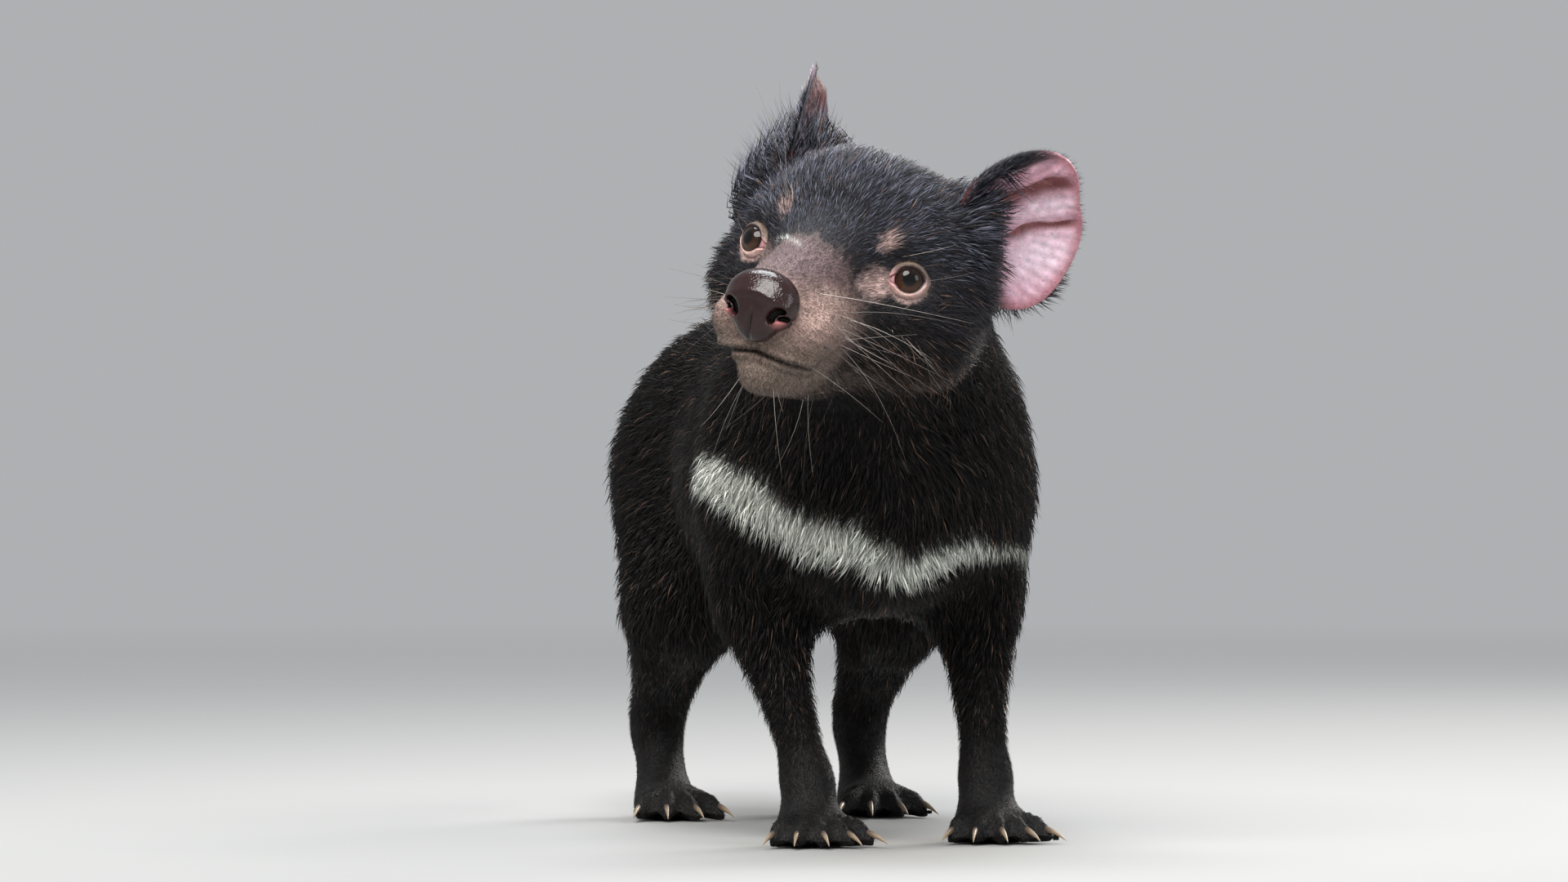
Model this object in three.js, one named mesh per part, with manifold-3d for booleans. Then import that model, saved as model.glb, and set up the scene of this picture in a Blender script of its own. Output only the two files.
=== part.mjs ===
// A young Tasmanian devil, life size, in millimetres, standing on all fours and looking up to its right.
// It stands along Y and faces -Y, so its left side is +X. The floor is at Z = 0.
import * as THREE from "three";
import { mergeVertices } from "three/addons/utils/BufferGeometryUtils.js";
import Module from "manifold-3d";

const wasm = await Module();
wasm.setup();

// Sides of the body
const LEFT = 1;
const RIGHT = -1;
const SIDES = [LEFT, RIGHT];

// Driving dimensions of the trunk
const GAP = 0.3;
const SHOULDER_HEIGHT = 208;
const RUMP_HEIGHT = 207;
const CHEST_HALF_WIDTH = 63;
const HAUNCH_HALF_WIDTH = 58;
const BELLY_CLEARANCE = 88;
const HIP_Y = 190;
const TAIL_LENGTH = 215;

// Driving dimensions of the head, in its own frame: the origin lies between the eyes, -Y runs to the nose
const HEAD_PLACE = [-34.5, -95, 229];
const HEAD_YAW = 34.3;
const HEAD_PITCH = 5;
const HEAD_ROLL = 13.4;
const SKULL_HALF_WIDTH = 51;
const NOSE_Y = -50;
const NOSE_Z = -21;
const NOSE_HALF_WIDTH = 14.5;
const MOUTH_Z = -40;
const MOUTH_CORNER_Y = -22;
const EYE_RADIUS = 9;
const EYE_CENTRE = [30.9, 8, -0.4];
const EYE_TURN = 27;
const LID_THICKNESS = 1.7;
const LID_HALF_WIDTH = 7.5;
const LID_HALF_HEIGHT = 7;
const NOSE_HALF_HEIGHT = 12.5;
const NOSE_DEPTH = 9.5;
const LIP_RADIUS = 2.1;
const EAR_REACH = 32;
const EAR_STEM = 17;
const EAR_THICKNESS = 2.6;

// Driving dimensions of the legs
const FORE_FOOT = { [LEFT]: [47, -6], [RIGHT]: [-27, -22] };
const HIND_FOOT = { [LEFT]: [43, 206], [RIGHT]: [-43, 196] };
const FORE_TOES = 5;
const HIND_TOES = 4;
const CLAW_LENGTH = 11;
const CLAW_RADIUS = 1.9;
const CLAW_DROP = 3.2;

// Cell sizes of the facets, fine where the form is small
const TRUNK_CELL = 14;
const LEG_CELL = 9.5;
const PAW_CELL = 5.2;
const HEAD_CELL = 8.5;
const MUZZLE_CELL = 5.2;

// Finishes
const finish = (color, roughness) => new THREE.MeshStandardMaterial({ color, roughness, metalness: 0 });
const BLACK_FUR = finish(0x1b1719, 0.85);
const GREY_FUR = finish(0x2a292f, 0.85);
const MUZZLE_SKIN = finish(0x6d5450, 0.6);
const NOSE_SKIN = finish(0x2e1a1c, 0.18);
const EAR_SKIN = finish(0xd99aa8, 0.55);
const EYE_BROWN = finish(0x2a1509, 0.05);

// Distance functions, negative inside

const oval = (centre, radii) => {
  const [cx, cy, cz] = centre;
  const [rx, ry, rz] = radii;
  return (x, y, z) => {
    const u = (x - cx) / rx;
    const v = (y - cy) / ry;
    const w = (z - cz) / rz;
    const reach = Math.hypot(u, v, w);
    const slope = Math.hypot(u / rx, v / ry, w / rz);
    return slope > 0 ? (reach * (reach - 1)) / slope : -Math.min(rx, ry, rz);
  };
};

const limb = (start, end, startRadius, endRadius) => {
  const [sx, sy, sz] = start;
  const [dx, dy, dz] = [end[0] - sx, end[1] - sy, end[2] - sz];
  const lengthSquared = dx * dx + dy * dy + dz * dz;
  return (x, y, z) => {
    const along = ((x - sx) * dx + (y - sy) * dy + (z - sz) * dz) / lengthSquared;
    const share = Math.min(1, Math.max(0, along));
    const reach = Math.hypot(x - sx - share * dx, y - sy - share * dy, z - sz - share * dz);
    return reach - startRadius - share * (endRadius - startRadius);
  };
};

// A smooth union, which rounds the meeting of two forms over the softness
const blend = (a, b, softness) => {
  const overlap = Math.max(softness - Math.abs(a - b), 0) / softness;
  return Math.min(a, b) - (overlap * overlap * softness) / 4;
};

const carve = (form, hollow, softness) => -blend(-form, hollow, softness);

const FAR = 1000;
const joined = (forms) => (x, y, z) => {
  let distance = FAR;
  for (const [form, softness] of forms) {
    distance = blend(distance, form(x, y, z), softness);
  }
  return distance;
};

// The frame of the head

const head = new THREE.Group();
const radians = THREE.MathUtils.degToRad;
head.position.set(...HEAD_PLACE);
head.rotation.set(radians(-HEAD_PITCH), radians(HEAD_ROLL), radians(-HEAD_YAW), "ZXY");
head.updateMatrixWorld();
const intoHead = head.matrixWorld.clone().invert();

const toWorld = (point) => new THREE.Vector3(...point).applyMatrix4(head.matrixWorld).toArray();

// The forms of the trunk and neck

const chestZ = (SHOULDER_HEIGHT + BELLY_CLEARANCE) / 2;
const rumpZ = RUMP_HEIGHT - 54;
const trunkForms = [
  [oval([0, 8, chestZ - 4], [56, 66, 57]), 1],
  [oval([0, 24, SHOULDER_HEIGHT - 42], [48, 60, 42]), 20],
  [oval([0, -26, chestZ - 12], [42, 30, 42]), 20],
  [oval([0, 98, chestZ - 12], [57, 86, 54]), 24],
  [limb([0, 20, SHOULDER_HEIGHT - 46], [0, HIP_Y - 15, RUMP_HEIGHT - 46], 46, 46), 20],
  [oval([0, HIP_Y, rumpZ], [52, 56, 54]), 20],
  [limb([0, -4, 166], toWorld([0, 48, -4]), 57, 42.5), 26],
];
for (const side of SIDES) {
  trunkForms.push([oval([side * (CHEST_HALF_WIDTH - 27), 6, chestZ - 2], [27, 40, 46]), 14]);
  trunkForms.push([oval([side * (HAUNCH_HALF_WIDTH - 27), HIP_Y - 2, rumpZ - 12], [27, 44, 48]), 22]);
}

// The forms of the legs, each from the body down to the floor

const wristZ = 27;
const elbow = { [LEFT]: [47, 24, 94], [RIGHT]: [-39, 20, 94] };
const foreLegForms = (side) => {
  const [footX, footY] = FORE_FOOT[side];
  const wrist = [footX, footY + 6, wristZ];
  const [elbowX, elbowY, elbowZ] = elbow[side];
  return [
    [limb([side * 42, 4, 132], elbow[side], 27, 21), 14],
    [limb([elbowX, elbowY - 4, elbowZ], wrist, 19, 11), 12],
    [limb(wrist, [footX, footY + 2, 14], 11, 10.5), 8],
  ];
};

const heel = (side) => [HIND_FOOT[side][0], HIND_FOOT[side][1] + 30, 40];
const knee = (side) => [side * 44, HIND_FOOT[side][1] - 40, 90];
const hindLegForms = (side) => {
  const [footX, footY] = HIND_FOOT[side];
  return [
    [limb([side * 30, HIP_Y, rumpZ - 14], knee(side), 38, 26), 18],
    [limb(knee(side), heel(side), 25, 13), 12],
    [limb(heel(side), [footX, footY + 12, 13], 12, 11), 8],
  ];
};

// Each toe fans out from the pad: its root, its knuckle and its tip

const toeRays = (place, count, spread, reach) => {
  const [padX, padY] = place;
  const rays = [];
  for (let toe = 0; toe < count; toe += 1) {
    const share = toe / (count - 1) - 0.5;
    const angle = radians(share * spread);
    const length = reach * (1 - 0.6 * share * share);
    const ahead = [Math.sin(angle), -Math.cos(angle)];
    const rootX = padX + share * 20;
    rays.push({
      root: [rootX, padY, 9],
      knuckle: [rootX + ahead[0] * length * 0.6, padY + ahead[1] * length * 0.6, 8.5],
      tip: [rootX + ahead[0] * length, padY + ahead[1] * length, 4.5],
      ahead,
    });
  }
  return rays;
};

const foreRays = (side) => toeRays([FORE_FOOT[side][0], FORE_FOOT[side][1] - 6], FORE_TOES, 64, 21);
const hindRays = (side) => toeRays([HIND_FOOT[side][0], HIND_FOOT[side][1] - 8], HIND_TOES, 44, 22);

const pawForms = (place, length, rays) => {
  const [footX, footY] = place;
  const forms = [[oval([footX, footY, 7.5], [15, length, 9.5]), 8]];
  for (const ray of rays) {
    forms.push([limb(ray.root, ray.knuckle, 6, 5.4), 4]);
    forms.push([limb(ray.knuckle, ray.tip, 5.4, 4.4), 3]);
  }
  return forms;
};

// The tail hangs back in a gentle curve, thick at its root

const tailCurve = new THREE.QuadraticBezierCurve3(
  new THREE.Vector3(0, HIP_Y + 34, RUMP_HEIGHT - 41),
  new THREE.Vector3(2, HIP_Y + 110, RUMP_HEIGHT - 59),
  new THREE.Vector3(8, HIP_Y + 40 + TAIL_LENGTH * 0.95, 100),
);
const TAIL_STEPS = 6;
const tailRadius = (share) => 25 * (1 - share) ** 0.8 + 6.5;
const tailForms = [];
for (let step = 0; step < TAIL_STEPS; step += 1) {
  const from = step / TAIL_STEPS;
  const to = (step + 1) / TAIL_STEPS;
  const start = tailCurve.getPoint(from).toArray();
  const end = tailCurve.getPoint(to).toArray();
  tailForms.push([limb(start, end, tailRadius(from), tailRadius(to)), step === 0 ? 16 : 1]);
}

// Each ear: where it is rooted, the way it grows, the way its opening faces and how deep its cup is

const EARS = {
  [LEFT]: { root: [42, 44, 18], growth: [0.53, 0.53, 0.66], facing: [0.838, -0.444, -0.317], cup: 12 },
  [RIGHT]: { root: [-46, 45, 22], growth: [-0.1, 0.25, 0.96], facing: [-0.918, -0.396, 0], cup: 8 },
};
const earFrame = (side) => {
  const { root, growth, facing } = EARS[side];
  const grow = new THREE.Vector3(...growth).normalize();
  const face = new THREE.Vector3(...facing);
  face.addScaledVector(grow, -face.dot(grow)).normalize();
  const across = new THREE.Vector3().crossVectors(face, grow);
  return { root: new THREE.Vector3(...root), across, grow, face };
};

// The furry base rises behind the cup, nearer to its front edge
const EAR_BASE = { rise: 14, behind: 5, ahead: 12 };
const earBase = (side) => {
  const { root, across, grow, face } = earFrame(side);
  root.addScaledVector(grow, EAR_BASE.rise).addScaledVector(face, -EAR_BASE.behind);
  return root.addScaledVector(across, side * EAR_BASE.ahead).toArray();
};

// The forms of the head, in its own frame

const headForms = [
  [oval([0, 32, 1], [SKULL_HALF_WIDTH, 44, 43.5]), 1],
  [oval([0, 16, 16], [31, 26, 28]), 12],
  [limb([0, NOSE_Y + 8, NOSE_Z + 2], [0, 4, 0], 11, 20), 10],
  [oval([0, -21, NOSE_Z - 4], [25, 28, 17]), 10],
  [limb([0, -35, MOUTH_Z - 7], [0, 8, MOUTH_Z + 2], 10, 19), 8],
  [limb([0, 12, MOUTH_Z + 12], [0, 44, MOUTH_Z + 18], 20, 28), 12],
];
for (const side of SIDES) {
  headForms.push([oval([side * 11, -36, MOUTH_Z + 9], [13, 13, 11]), 6]);
  headForms.push([oval([side * 34, 27, -17], [23.5, 26, 25]), 12]);
  headForms.push([oval([side * 29, 7, 13], [12, 10, 8]), 8]);
  headForms.push([limb([side * 30, 34, 20], earBase(side), 18, 8.5), 12]);
}

const eyeAxis = (side) => {
  const turn = radians(EYE_TURN);
  return new THREE.Vector3(side * Math.sin(turn), -Math.cos(turn), 0.05).normalize();
};
const eyeCentre = (side) => new THREE.Vector3(side * EYE_CENTRE[0], EYE_CENTRE[1], EYE_CENTRE[2]);
const sockets = SIDES.map((side) => {
  const centre = eyeCentre(side).addScaledVector(eyeAxis(side), EYE_RADIUS + 6);
  return oval(centre.toArray(), [13, 13, 12]);
});

const skull = joined(headForms);
const headField = (x, y, z) => {
  let distance = skull(x, y, z);
  for (const socket of sockets) {
    distance = carve(distance, socket(x, y, z), 6);
  }
  return distance;
};

// The whole animal as one distance function

const body = joined([
  ...trunkForms,
  ...SIDES.flatMap((side) => foreLegForms(side)),
  ...SIDES.flatMap((side) => hindLegForms(side)),
  ...SIDES.flatMap((side) => pawForms(FORE_FOOT[side], 17, foreRays(side))),
  ...SIDES.flatMap((side) => pawForms(HIND_FOOT[side], 23, hindRays(side))),
  ...tailForms,
]);
const NAPE_SOFTNESS = 16;
const spot = new THREE.Vector3();
const flesh = (x, y, z) => {
  spot.set(x, y, z).applyMatrix4(intoHead);
  return blend(body(x, y, z), headField(spot.x, spot.y, spot.z), NAPE_SOFTNESS);
};
const fleshInHead = (x, y, z) => {
  spot.set(x, y, z).applyMatrix4(head.matrixWorld);
  return blend(body(spot.x, spot.y, spot.z), headField(x, y, z), NAPE_SOFTNESS);
};

// Planes that part the animal into its nodes; a node lies behind or ahead of each that bounds it

const plane = (point, normal) => {
  const cut = new THREE.Plane();
  cut.setFromNormalAndCoplanarPoint(new THREE.Vector3(...normal).normalize(), new THREE.Vector3(...point));
  return cut;
};
const behind = (cut) => ({ normal: cut.normal.clone(), constant: cut.constant });
const ahead = (cut) => ({ normal: cut.normal.clone().negate(), constant: -cut.constant });

const napeInHead = plane([0, 52, -20], [0, 0.85, -0.53]);
const nape = napeInHead.clone().applyMatrix4(head.matrixWorld);
const muzzleBase = plane([0, -9, -20], [0, -1, 0]);
const collar = plane([-2, -34, 186], [-0.12, -0.78, 0.6]);
const ribs = plane([0, 62, 150], [0, 1, 0]);
const flank = plane([0, 126, 100], [0, 0.985, -0.17]);
const tailRoot = plane([0, HIP_Y + 58, 150], [0, 0.96, -0.28]);
const tailMiddle = plane([3, HIP_Y + 138, 125], [0, 0.96, -0.28]);
const midline = plane([0, 0, 0], [1, 0, 0]);
const shoulderPlane = (side) => plane([side * 26, 0, 90], [side * 0.6, 0, -0.8]);
const hipPlane = (side) => plane([side * 26, HIP_Y, 96], [side * 0.6, 0, -0.8]);
const wristPlane = plane([0, 0, 29], [0, 0, -1]);
const kneePlane = plane([0, HIP_Y, 70], [0, 0.3, -0.95]);
const anklePlane = plane([0, HIP_Y, 31], [0, 0, -1]);

// Facets: one vertex for each cell that the surface crosses, drawn onto the surface

const CORNERS = [0, 1, 2, 3, 4, 5, 6, 7].map((corner) => [corner & 1, (corner >> 1) & 1, corner >> 2]);
const EDGES = [];
for (let a = 0; a < 8; a += 1) {
  for (const bit of [1, 2, 4]) {
    if ((a & bit) === 0) {
      EDGES.push([a, a | bit]);
    }
  }
}

const SLOPE_STEP = 0.05;
const DRAW_STEPS = 4;

const drawOntoSurface = (field, point, cell) => {
  const start = [...point];
  for (let step = 0; step < DRAW_STEPS; step += 1) {
    const distance = field(...point);
    const slope = [0, 1, 2].map((axis) => {
      const beside = [...point];
      beside[axis] += SLOPE_STEP;
      return (field(...beside) - distance) / SLOPE_STEP;
    });
    const steepness = slope[0] ** 2 + slope[1] ** 2 + slope[2] ** 2;
    for (let axis = 0; axis < 3; axis += 1) {
      const moved = point[axis] - (distance * slope[axis]) / Math.max(steepness, 0.3);
      const reach = 0.45 * cell;
      point[axis] = Math.min(start[axis] + reach, Math.max(start[axis] - reach, moved));
    }
  }
  return point;
};

const facet = (field, low, high, cell) => {
  const count = [0, 1, 2].map((axis) => Math.ceil((high[axis] - low[axis]) / cell) + 1);
  const stride = [1, count[0], count[0] * count[1]];
  const values = new Float64Array(count[0] * count[1] * count[2]);
  const at = (i, j, k) => i + j * stride[1] + k * stride[2];
  for (let k = 0; k < count[2]; k += 1) {
    for (let j = 0; j < count[1]; j += 1) {
      for (let i = 0; i < count[0]; i += 1) {
        values[at(i, j, k)] = field(low[0] + i * cell, low[1] + j * cell, low[2] + k * cell);
      }
    }
  }
  const vertices = [];
  const vertexOf = new Int32Array(values.length).fill(-1);
  for (let k = 0; k < count[2] - 1; k += 1) {
    for (let j = 0; j < count[1] - 1; j += 1) {
      for (let i = 0; i < count[0] - 1; i += 1) {
        const sum = [0, 0, 0];
        let crossings = 0;
        const here = CORNERS.map(([a, b, c]) => values[at(i + a, j + b, k + c)]);
        for (const [from, to] of EDGES) {
          if (here[from] < 0 === here[to] < 0) {
            continue;
          }
          const share = here[from] / (here[from] - here[to]);
          for (let axis = 0; axis < 3; axis += 1) {
            sum[axis] += CORNERS[from][axis] + share * (CORNERS[to][axis] - CORNERS[from][axis]);
          }
          crossings += 1;
        }
        if (crossings > 0) {
          const place = [i, j, k].map((index, axis) => low[axis] + cell * (index + sum[axis] / crossings));
          vertexOf[at(i, j, k)] = vertices.length / 3;
          vertices.push(...drawOntoSurface(field, place, cell));
        }
      }
    }
  }
  const corner = (index) => vertices.slice(3 * index, 3 * index + 3);
  const apart = (a, b) => Math.hypot(...corner(a).map((value, axis) => value - corner(b)[axis]));
  const triangles = [];
  for (let k = 1; k < count[2] - 1; k += 1) {
    for (let j = 1; j < count[1] - 1; j += 1) {
      for (let i = 1; i < count[0] - 1; i += 1) {
        const here = at(i, j, k);
        for (let axis = 0; axis < 3; axis += 1) {
          const inside = values[here] < 0;
          if (inside === values[here + stride[axis]] < 0) {
            continue;
          }
          const second = stride[(axis + 1) % 3];
          const third = stride[(axis + 2) % 3];
          const around = [here - second - third, here - third, here, here - second];
          const ring = around.map((cellIndex) => vertexOf[cellIndex]);
          const [a, b, c, d] = inside ? ring : ring.reverse();
          if (apart(a, c) <= apart(b, d)) {
            triangles.push(a, b, c, a, c, d);
          } else {
            triangles.push(a, b, d, b, c, d);
          }
        }
      }
    }
  }
  return { vertices, triangles };
};

// Solids, to join and to cut

const solidOf = (vertices, triangles) =>
  new wasm.Manifold(
    new wasm.Mesh({
      numProp: 3,
      vertProperties: Float32Array.from(vertices),
      triVerts: Uint32Array.from(triangles),
    }),
  );

// A closed geometry becomes a solid with its faces pointing out, once its points are moved by a function
const shaped = (geometry, move) => {
  geometry.deleteAttribute("normal");
  geometry.deleteAttribute("uv");
  const merged = mergeVertices(geometry, 1e-4);
  const points = merged.getAttribute("position");
  const vertices = [];
  for (let index = 0; index < points.count; index += 1) {
    vertices.push(...move(points.getX(index), points.getY(index), points.getZ(index)));
  }
  const triangles = [];
  const order = merged.getIndex().array;
  let volume = 0;
  for (let index = 0; index < order.length; index += 3) {
    const [a, b, c] = [order[index], order[index + 1], order[index + 2]];
    if (a === b || b === c || c === a) {
      continue;
    }
    triangles.push(a, b, c);
    const [pa, pb, pc] = [a, b, c].map((vertex) => new THREE.Vector3().fromArray(vertices, 3 * vertex));
    volume += pa.dot(pb.cross(pc));
  }
  if (volume < 0) {
    triangles.reverse();
  }
  return solidOf(vertices, triangles);
};

const largest = (solid) => {
  const pieces = solid.decompose();
  return pieces.reduce((best, piece) => (piece.volume() > best.volume() ? piece : best));
};

const trimmed = (solid, bounds) => {
  let rest = solid;
  for (const { normal, constant } of bounds) {
    rest = rest.trimByPlane(normal.clone().negate().toArray(), constant + GAP / 2);
  }
  return rest;
};

// The flesh inside a box, parted from its neighbours by planes
const fleshPiece = (field, low, high, cell, bounds) => {
  const margin = 2.2 * cell;
  const open = (x, y, z) => {
    let distance = field(x, y, z);
    for (const { normal, constant } of bounds) {
      distance = Math.max(distance, normal.x * x + normal.y * y + normal.z * z + constant - margin);
    }
    [x, y, z].forEach((value, axis) => {
      distance = Math.max(distance, low[axis] + cell - value, value - high[axis] + 2 * cell);
    });
    return distance;
  };
  const { vertices, triangles } = facet(open, low, high, cell);
  return trimmed(solidOf(vertices, triangles), bounds);
};

const meshOf = (name, solid, material) => {
  const { vertProperties, triVerts } = largest(solid).getMesh();
  const geometry = new THREE.BufferGeometry();
  geometry.setAttribute("position", new THREE.BufferAttribute(Float32Array.from(vertProperties), 3));
  geometry.setIndex(new THREE.BufferAttribute(Uint32Array.from(triVerts), 1));
  geometry.computeVertexNormals();
  const mesh = new THREE.Mesh(geometry, material);
  mesh.name = name;
  return mesh;
};

const devil = new THREE.Group();
devil.add(head);

// Trunk, neck and tail

const trunkNode = (name, low, high, bounds, cell = TRUNK_CELL) => {
  devil.add(meshOf(name, fleshPiece(flesh, low, high, cell, bounds), BLACK_FUR));
};

const aboveLegs = [behind(shoulderPlane(LEFT)), behind(shoulderPlane(RIGHT))];
const aboveHips = [behind(hipPlane(LEFT)), behind(hipPlane(RIGHT))];
trunkNode("neck", [-120, -160, 70], [120, 80, 290], [ahead(nape), ahead(collar)]);
trunkNode("chest", [-110, -120, 50], [110, 100, 300], [behind(collar), behind(ribs), ...aboveLegs]);
trunkNode("belly", [-110, 20, 50], [110, 190, 260], [ahead(ribs), behind(flank)]);
trunkNode("rump", [-110, 80, 40], [110, 310, 260], [ahead(flank), behind(tailRoot), ...aboveHips]);
trunkNode("tail_base", [-70, 210, 60], [70, 370, 220], [ahead(tailRoot), behind(tailMiddle)], LEG_CELL);
trunkNode("tail_end", [-60, 290, 60], [60, 480, 200], [ahead(tailMiddle)], 8);

// Claws: a bent cone rooted in each toe

const claw = (ray) => {
  const profile = [
    [0, -5],
    [CLAW_RADIUS, -5],
    [CLAW_RADIUS, 1],
    [CLAW_RADIUS * 0.62, CLAW_LENGTH * 0.55],
    [0, CLAW_LENGTH],
  ].map(([radius, height]) => new THREE.Vector2(radius, height));
  const [aheadX, aheadY] = ray.ahead;
  return shaped(new THREE.LatheGeometry(profile, 6), (x, along, z) => {
    const share = Math.max(along, 0) / CLAW_LENGTH;
    return [
      ray.tip[0] + aheadX * along + aheadY * x,
      ray.tip[1] + aheadY * along - aheadX * x,
      ray.tip[2] + 1 + z - CLAW_DROP * share * share,
    ];
  });
};

const pawNode = (name, place, rays, top) => {
  const [footX, footY] = place;
  const low = [footX - 50, footY - 60, -15];
  const high = [footX + 50, footY + 60, 60];
  const bounds = [ahead(top)];
  let paw = fleshPiece(flesh, low, high, PAW_CELL, bounds);
  for (const ray of rays) {
    paw = paw.add(claw(ray));
  }
  paw = paw.trimByPlane([0, 0, 1], 0);
  devil.add(meshOf(name, paw, BLACK_FUR));
};

for (const side of SIDES) {
  const sideName = side === LEFT ? "left" : "right";
  const beside = side === LEFT ? ahead(midline) : behind(midline);
  const foreBounds = [ahead(shoulderPlane(side)), beside, behind(wristPlane), behind(ribs)];
  const [outer, inner] = [side * 110, side * -30];
  const lowX = Math.min(outer, inner);
  const highX = Math.max(outer, inner);
  const foreLeg = fleshPiece(flesh, [lowX, -80, 0], [highX, 110, 190], LEG_CELL, foreBounds);
  devil.add(meshOf(`foreleg_${sideName}`, foreLeg, BLACK_FUR));
  pawNode(`forepaw_${sideName}`, FORE_FOOT[side], foreRays(side), wristPlane);
  const thighBounds = [ahead(hipPlane(side)), beside, ahead(flank), behind(kneePlane)];
  const thigh = fleshPiece(flesh, [lowX, 80, 30], [highX, 290, 200], LEG_CELL, thighBounds);
  devil.add(meshOf(`thigh_${sideName}`, thigh, BLACK_FUR));
  const shankBounds = [beside, ahead(kneePlane), behind(anklePlane)];
  const shank = fleshPiece(flesh, [lowX, 80, 5], [highX, 290, 130], LEG_CELL * 0.85, shankBounds);
  devil.add(meshOf(`shank_${sideName}`, shank, BLACK_FUR));
  pawNode(`hindpaw_${sideName}`, HIND_FOOT[side], hindRays(side), anklePlane);
}

// Eyes and lids

const turned = (axis) => {
  const up = new THREE.Vector3(0, 0, 1);
  const across = new THREE.Vector3().crossVectors(axis, up).normalize();
  up.crossVectors(across, axis).normalize();
  return { across, up, out: axis };
};

const eyeball = (side, growth) => {
  const centre = eyeCentre(side);
  const ball = new THREE.SphereGeometry(EYE_RADIUS + growth, 16, 10);
  return shaped(ball, (x, y, z) => [centre.x + x, centre.y + y, centre.z + z]);
};

const LID_SPHERE = EYE_RADIUS + 0.6;
const eyelids = (side) => {
  const centre = eyeCentre(side);
  const { across, up, out } = turned(eyeAxis(side));
  return shaped(new THREE.TorusGeometry(1, 0.25, 6, 18), (x, y, z) => {
    const angle = Math.atan2(y, x);
    const tube = (Math.hypot(x, y) - 1) / 0.25;
    const ring = Math.hypot(LID_HALF_WIDTH * Math.cos(angle), LID_HALF_HEIGHT * Math.sin(angle));
    const radius = ring + tube * LID_THICKNESS;
    const height = Math.sqrt(LID_SPHERE ** 2 - ring ** 2) + (z / 0.25) * LID_THICKNESS;
    const point = centre.clone();
    point.addScaledVector(across, radius * Math.cos(angle));
    point.addScaledVector(up, radius * Math.sin(angle));
    point.addScaledVector(out, height);
    return point.toArray();
  });
};

// Ears: a round cup, hollow towards its opening, with its root sunk into the head.
// The rim reaches further from the ear's middle at the lobe, and less far at the tip and the root
const EAR_SWELLS = [
  { reach: 7, angle: 184, spread: 30 },
  { reach: -4.5, angle: 100, spread: 26 },
  { reach: -6, angle: 270, spread: 45 },
];
const earReach = (angle) => {
  let reach = EAR_REACH;
  for (const swell of EAR_SWELLS) {
    const apart = ((((angle - swell.angle) % 360) + 540) % 360) - 180;
    reach += swell.reach * Math.exp(-((apart / swell.spread) ** 2));
  }
  return reach;
};

const earCup = (side, allowance) => {
  const { root, across, grow, face } = earFrame(side);
  const { cup } = EARS[side];
  return shaped(new THREE.BoxGeometry(2, 2, 1, 9, 9, 1), (s, t, w) => {
    const wide = s * Math.sqrt(1 - (t * t) / 2);
    const high = t * Math.sqrt(1 - (s * s) / 2);
    const reach = earReach(THREE.MathUtils.radToDeg(Math.atan2(high, side * wide)));
    const share = 1 + allowance / reach;
    const rim = (wide * wide + high * high) * share * share;
    const taper = 1.25 - 0.25 * high;
    const thickness = EAR_THICKNESS * taper + 2 * allowance;
    const point = root.clone().addScaledVector(across, wide * (reach + allowance));
    point.addScaledVector(grow, EAR_STEM + high * (reach + allowance));
    point.addScaledVector(face, w * thickness - cup * (1 - rim));
    return point.toArray();
  });
};

// Nose pad with its two nostrils

const nosePad = (allowance) =>
  shaped(new THREE.SphereGeometry(1, 18, 11), (x, y, z) => {
    const wide = NOSE_HALF_WIDTH * (1 + 0.12 * z) + allowance;
    const tall = NOSE_HALF_HEIGHT + allowance;
    const deep = NOSE_DEPTH + allowance;
    return [x * wide, NOSE_Y + y * deep, NOSE_Z + z * tall];
  });

const nostril = (side) =>
  shaped(new THREE.SphereGeometry(1, 8, 6), (x, y, z) => {
    const bend = 3 * z * z;
    return [side * (7.2 + 2.6 * x + bend), NOSE_Y - 8 + 5 * y, NOSE_Z - 1.5 + 4 * z];
  });

// The lower jaw lies under the mouth surface, which dips beside the nose and ends at the corners

const mouthHeight = (x) => MOUTH_Z - 2.2 * Math.sin(Math.min(Math.abs(x) / 12, 1.6));
const jawBlock = (allowance) => {
  const back = MOUTH_CORNER_Y + allowance;
  const front = -80;
  return shaped(new THREE.BoxGeometry(2, 1, 1, 24, 8, 1), (x, y, z) => {
    const wide = x * 60;
    const top = z > 0;
    const share = 0.5 - y;
    const ahead = back + (front - back) * share;
    const slant = top ? 0 : 26;
    return [wide, ahead + slant * (1 - share), top ? mouthHeight(wide) + allowance : -110];
  });
};

// A lip: a rounded roll that follows the edge of the mouth round the muzzle
const lipRoll = (offset) => {
  const route = [];
  const STEPS = 16;
  for (let step = 0; step <= STEPS; step += 1) {
    const angle = radians(-74 + (148 * step) / STEPS);
    const start = [0, -18];
    let near = 4;
    let far = 60;
    while (far - near > 0.05) {
      const middle = (near + far) / 2;
      const x = start[0] + middle * Math.sin(angle);
      const y = start[1] - middle * Math.cos(angle);
      if (headField(x, y, mouthHeight(x) + offset) < 0) {
        near = middle;
      } else {
        far = middle;
      }
    }
    const reach = near - 0.9;
    const x = start[0] + reach * Math.sin(angle);
    route.push(new THREE.Vector3(x, start[1] - reach * Math.cos(angle), mouthHeight(x) + offset));
  }
  const section = new THREE.Shape().absarc(0, 0, LIP_RADIUS, 0, 2 * Math.PI);
  const curve = new THREE.CatmullRomCurve3(route);
  const settings = { steps: 22, curveSegments: 4, extrudePath: curve };
  return shaped(new THREE.ExtrudeGeometry(section, settings), (x, y, z) => [x, y, z]);
};

// The head is put together and parted

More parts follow.
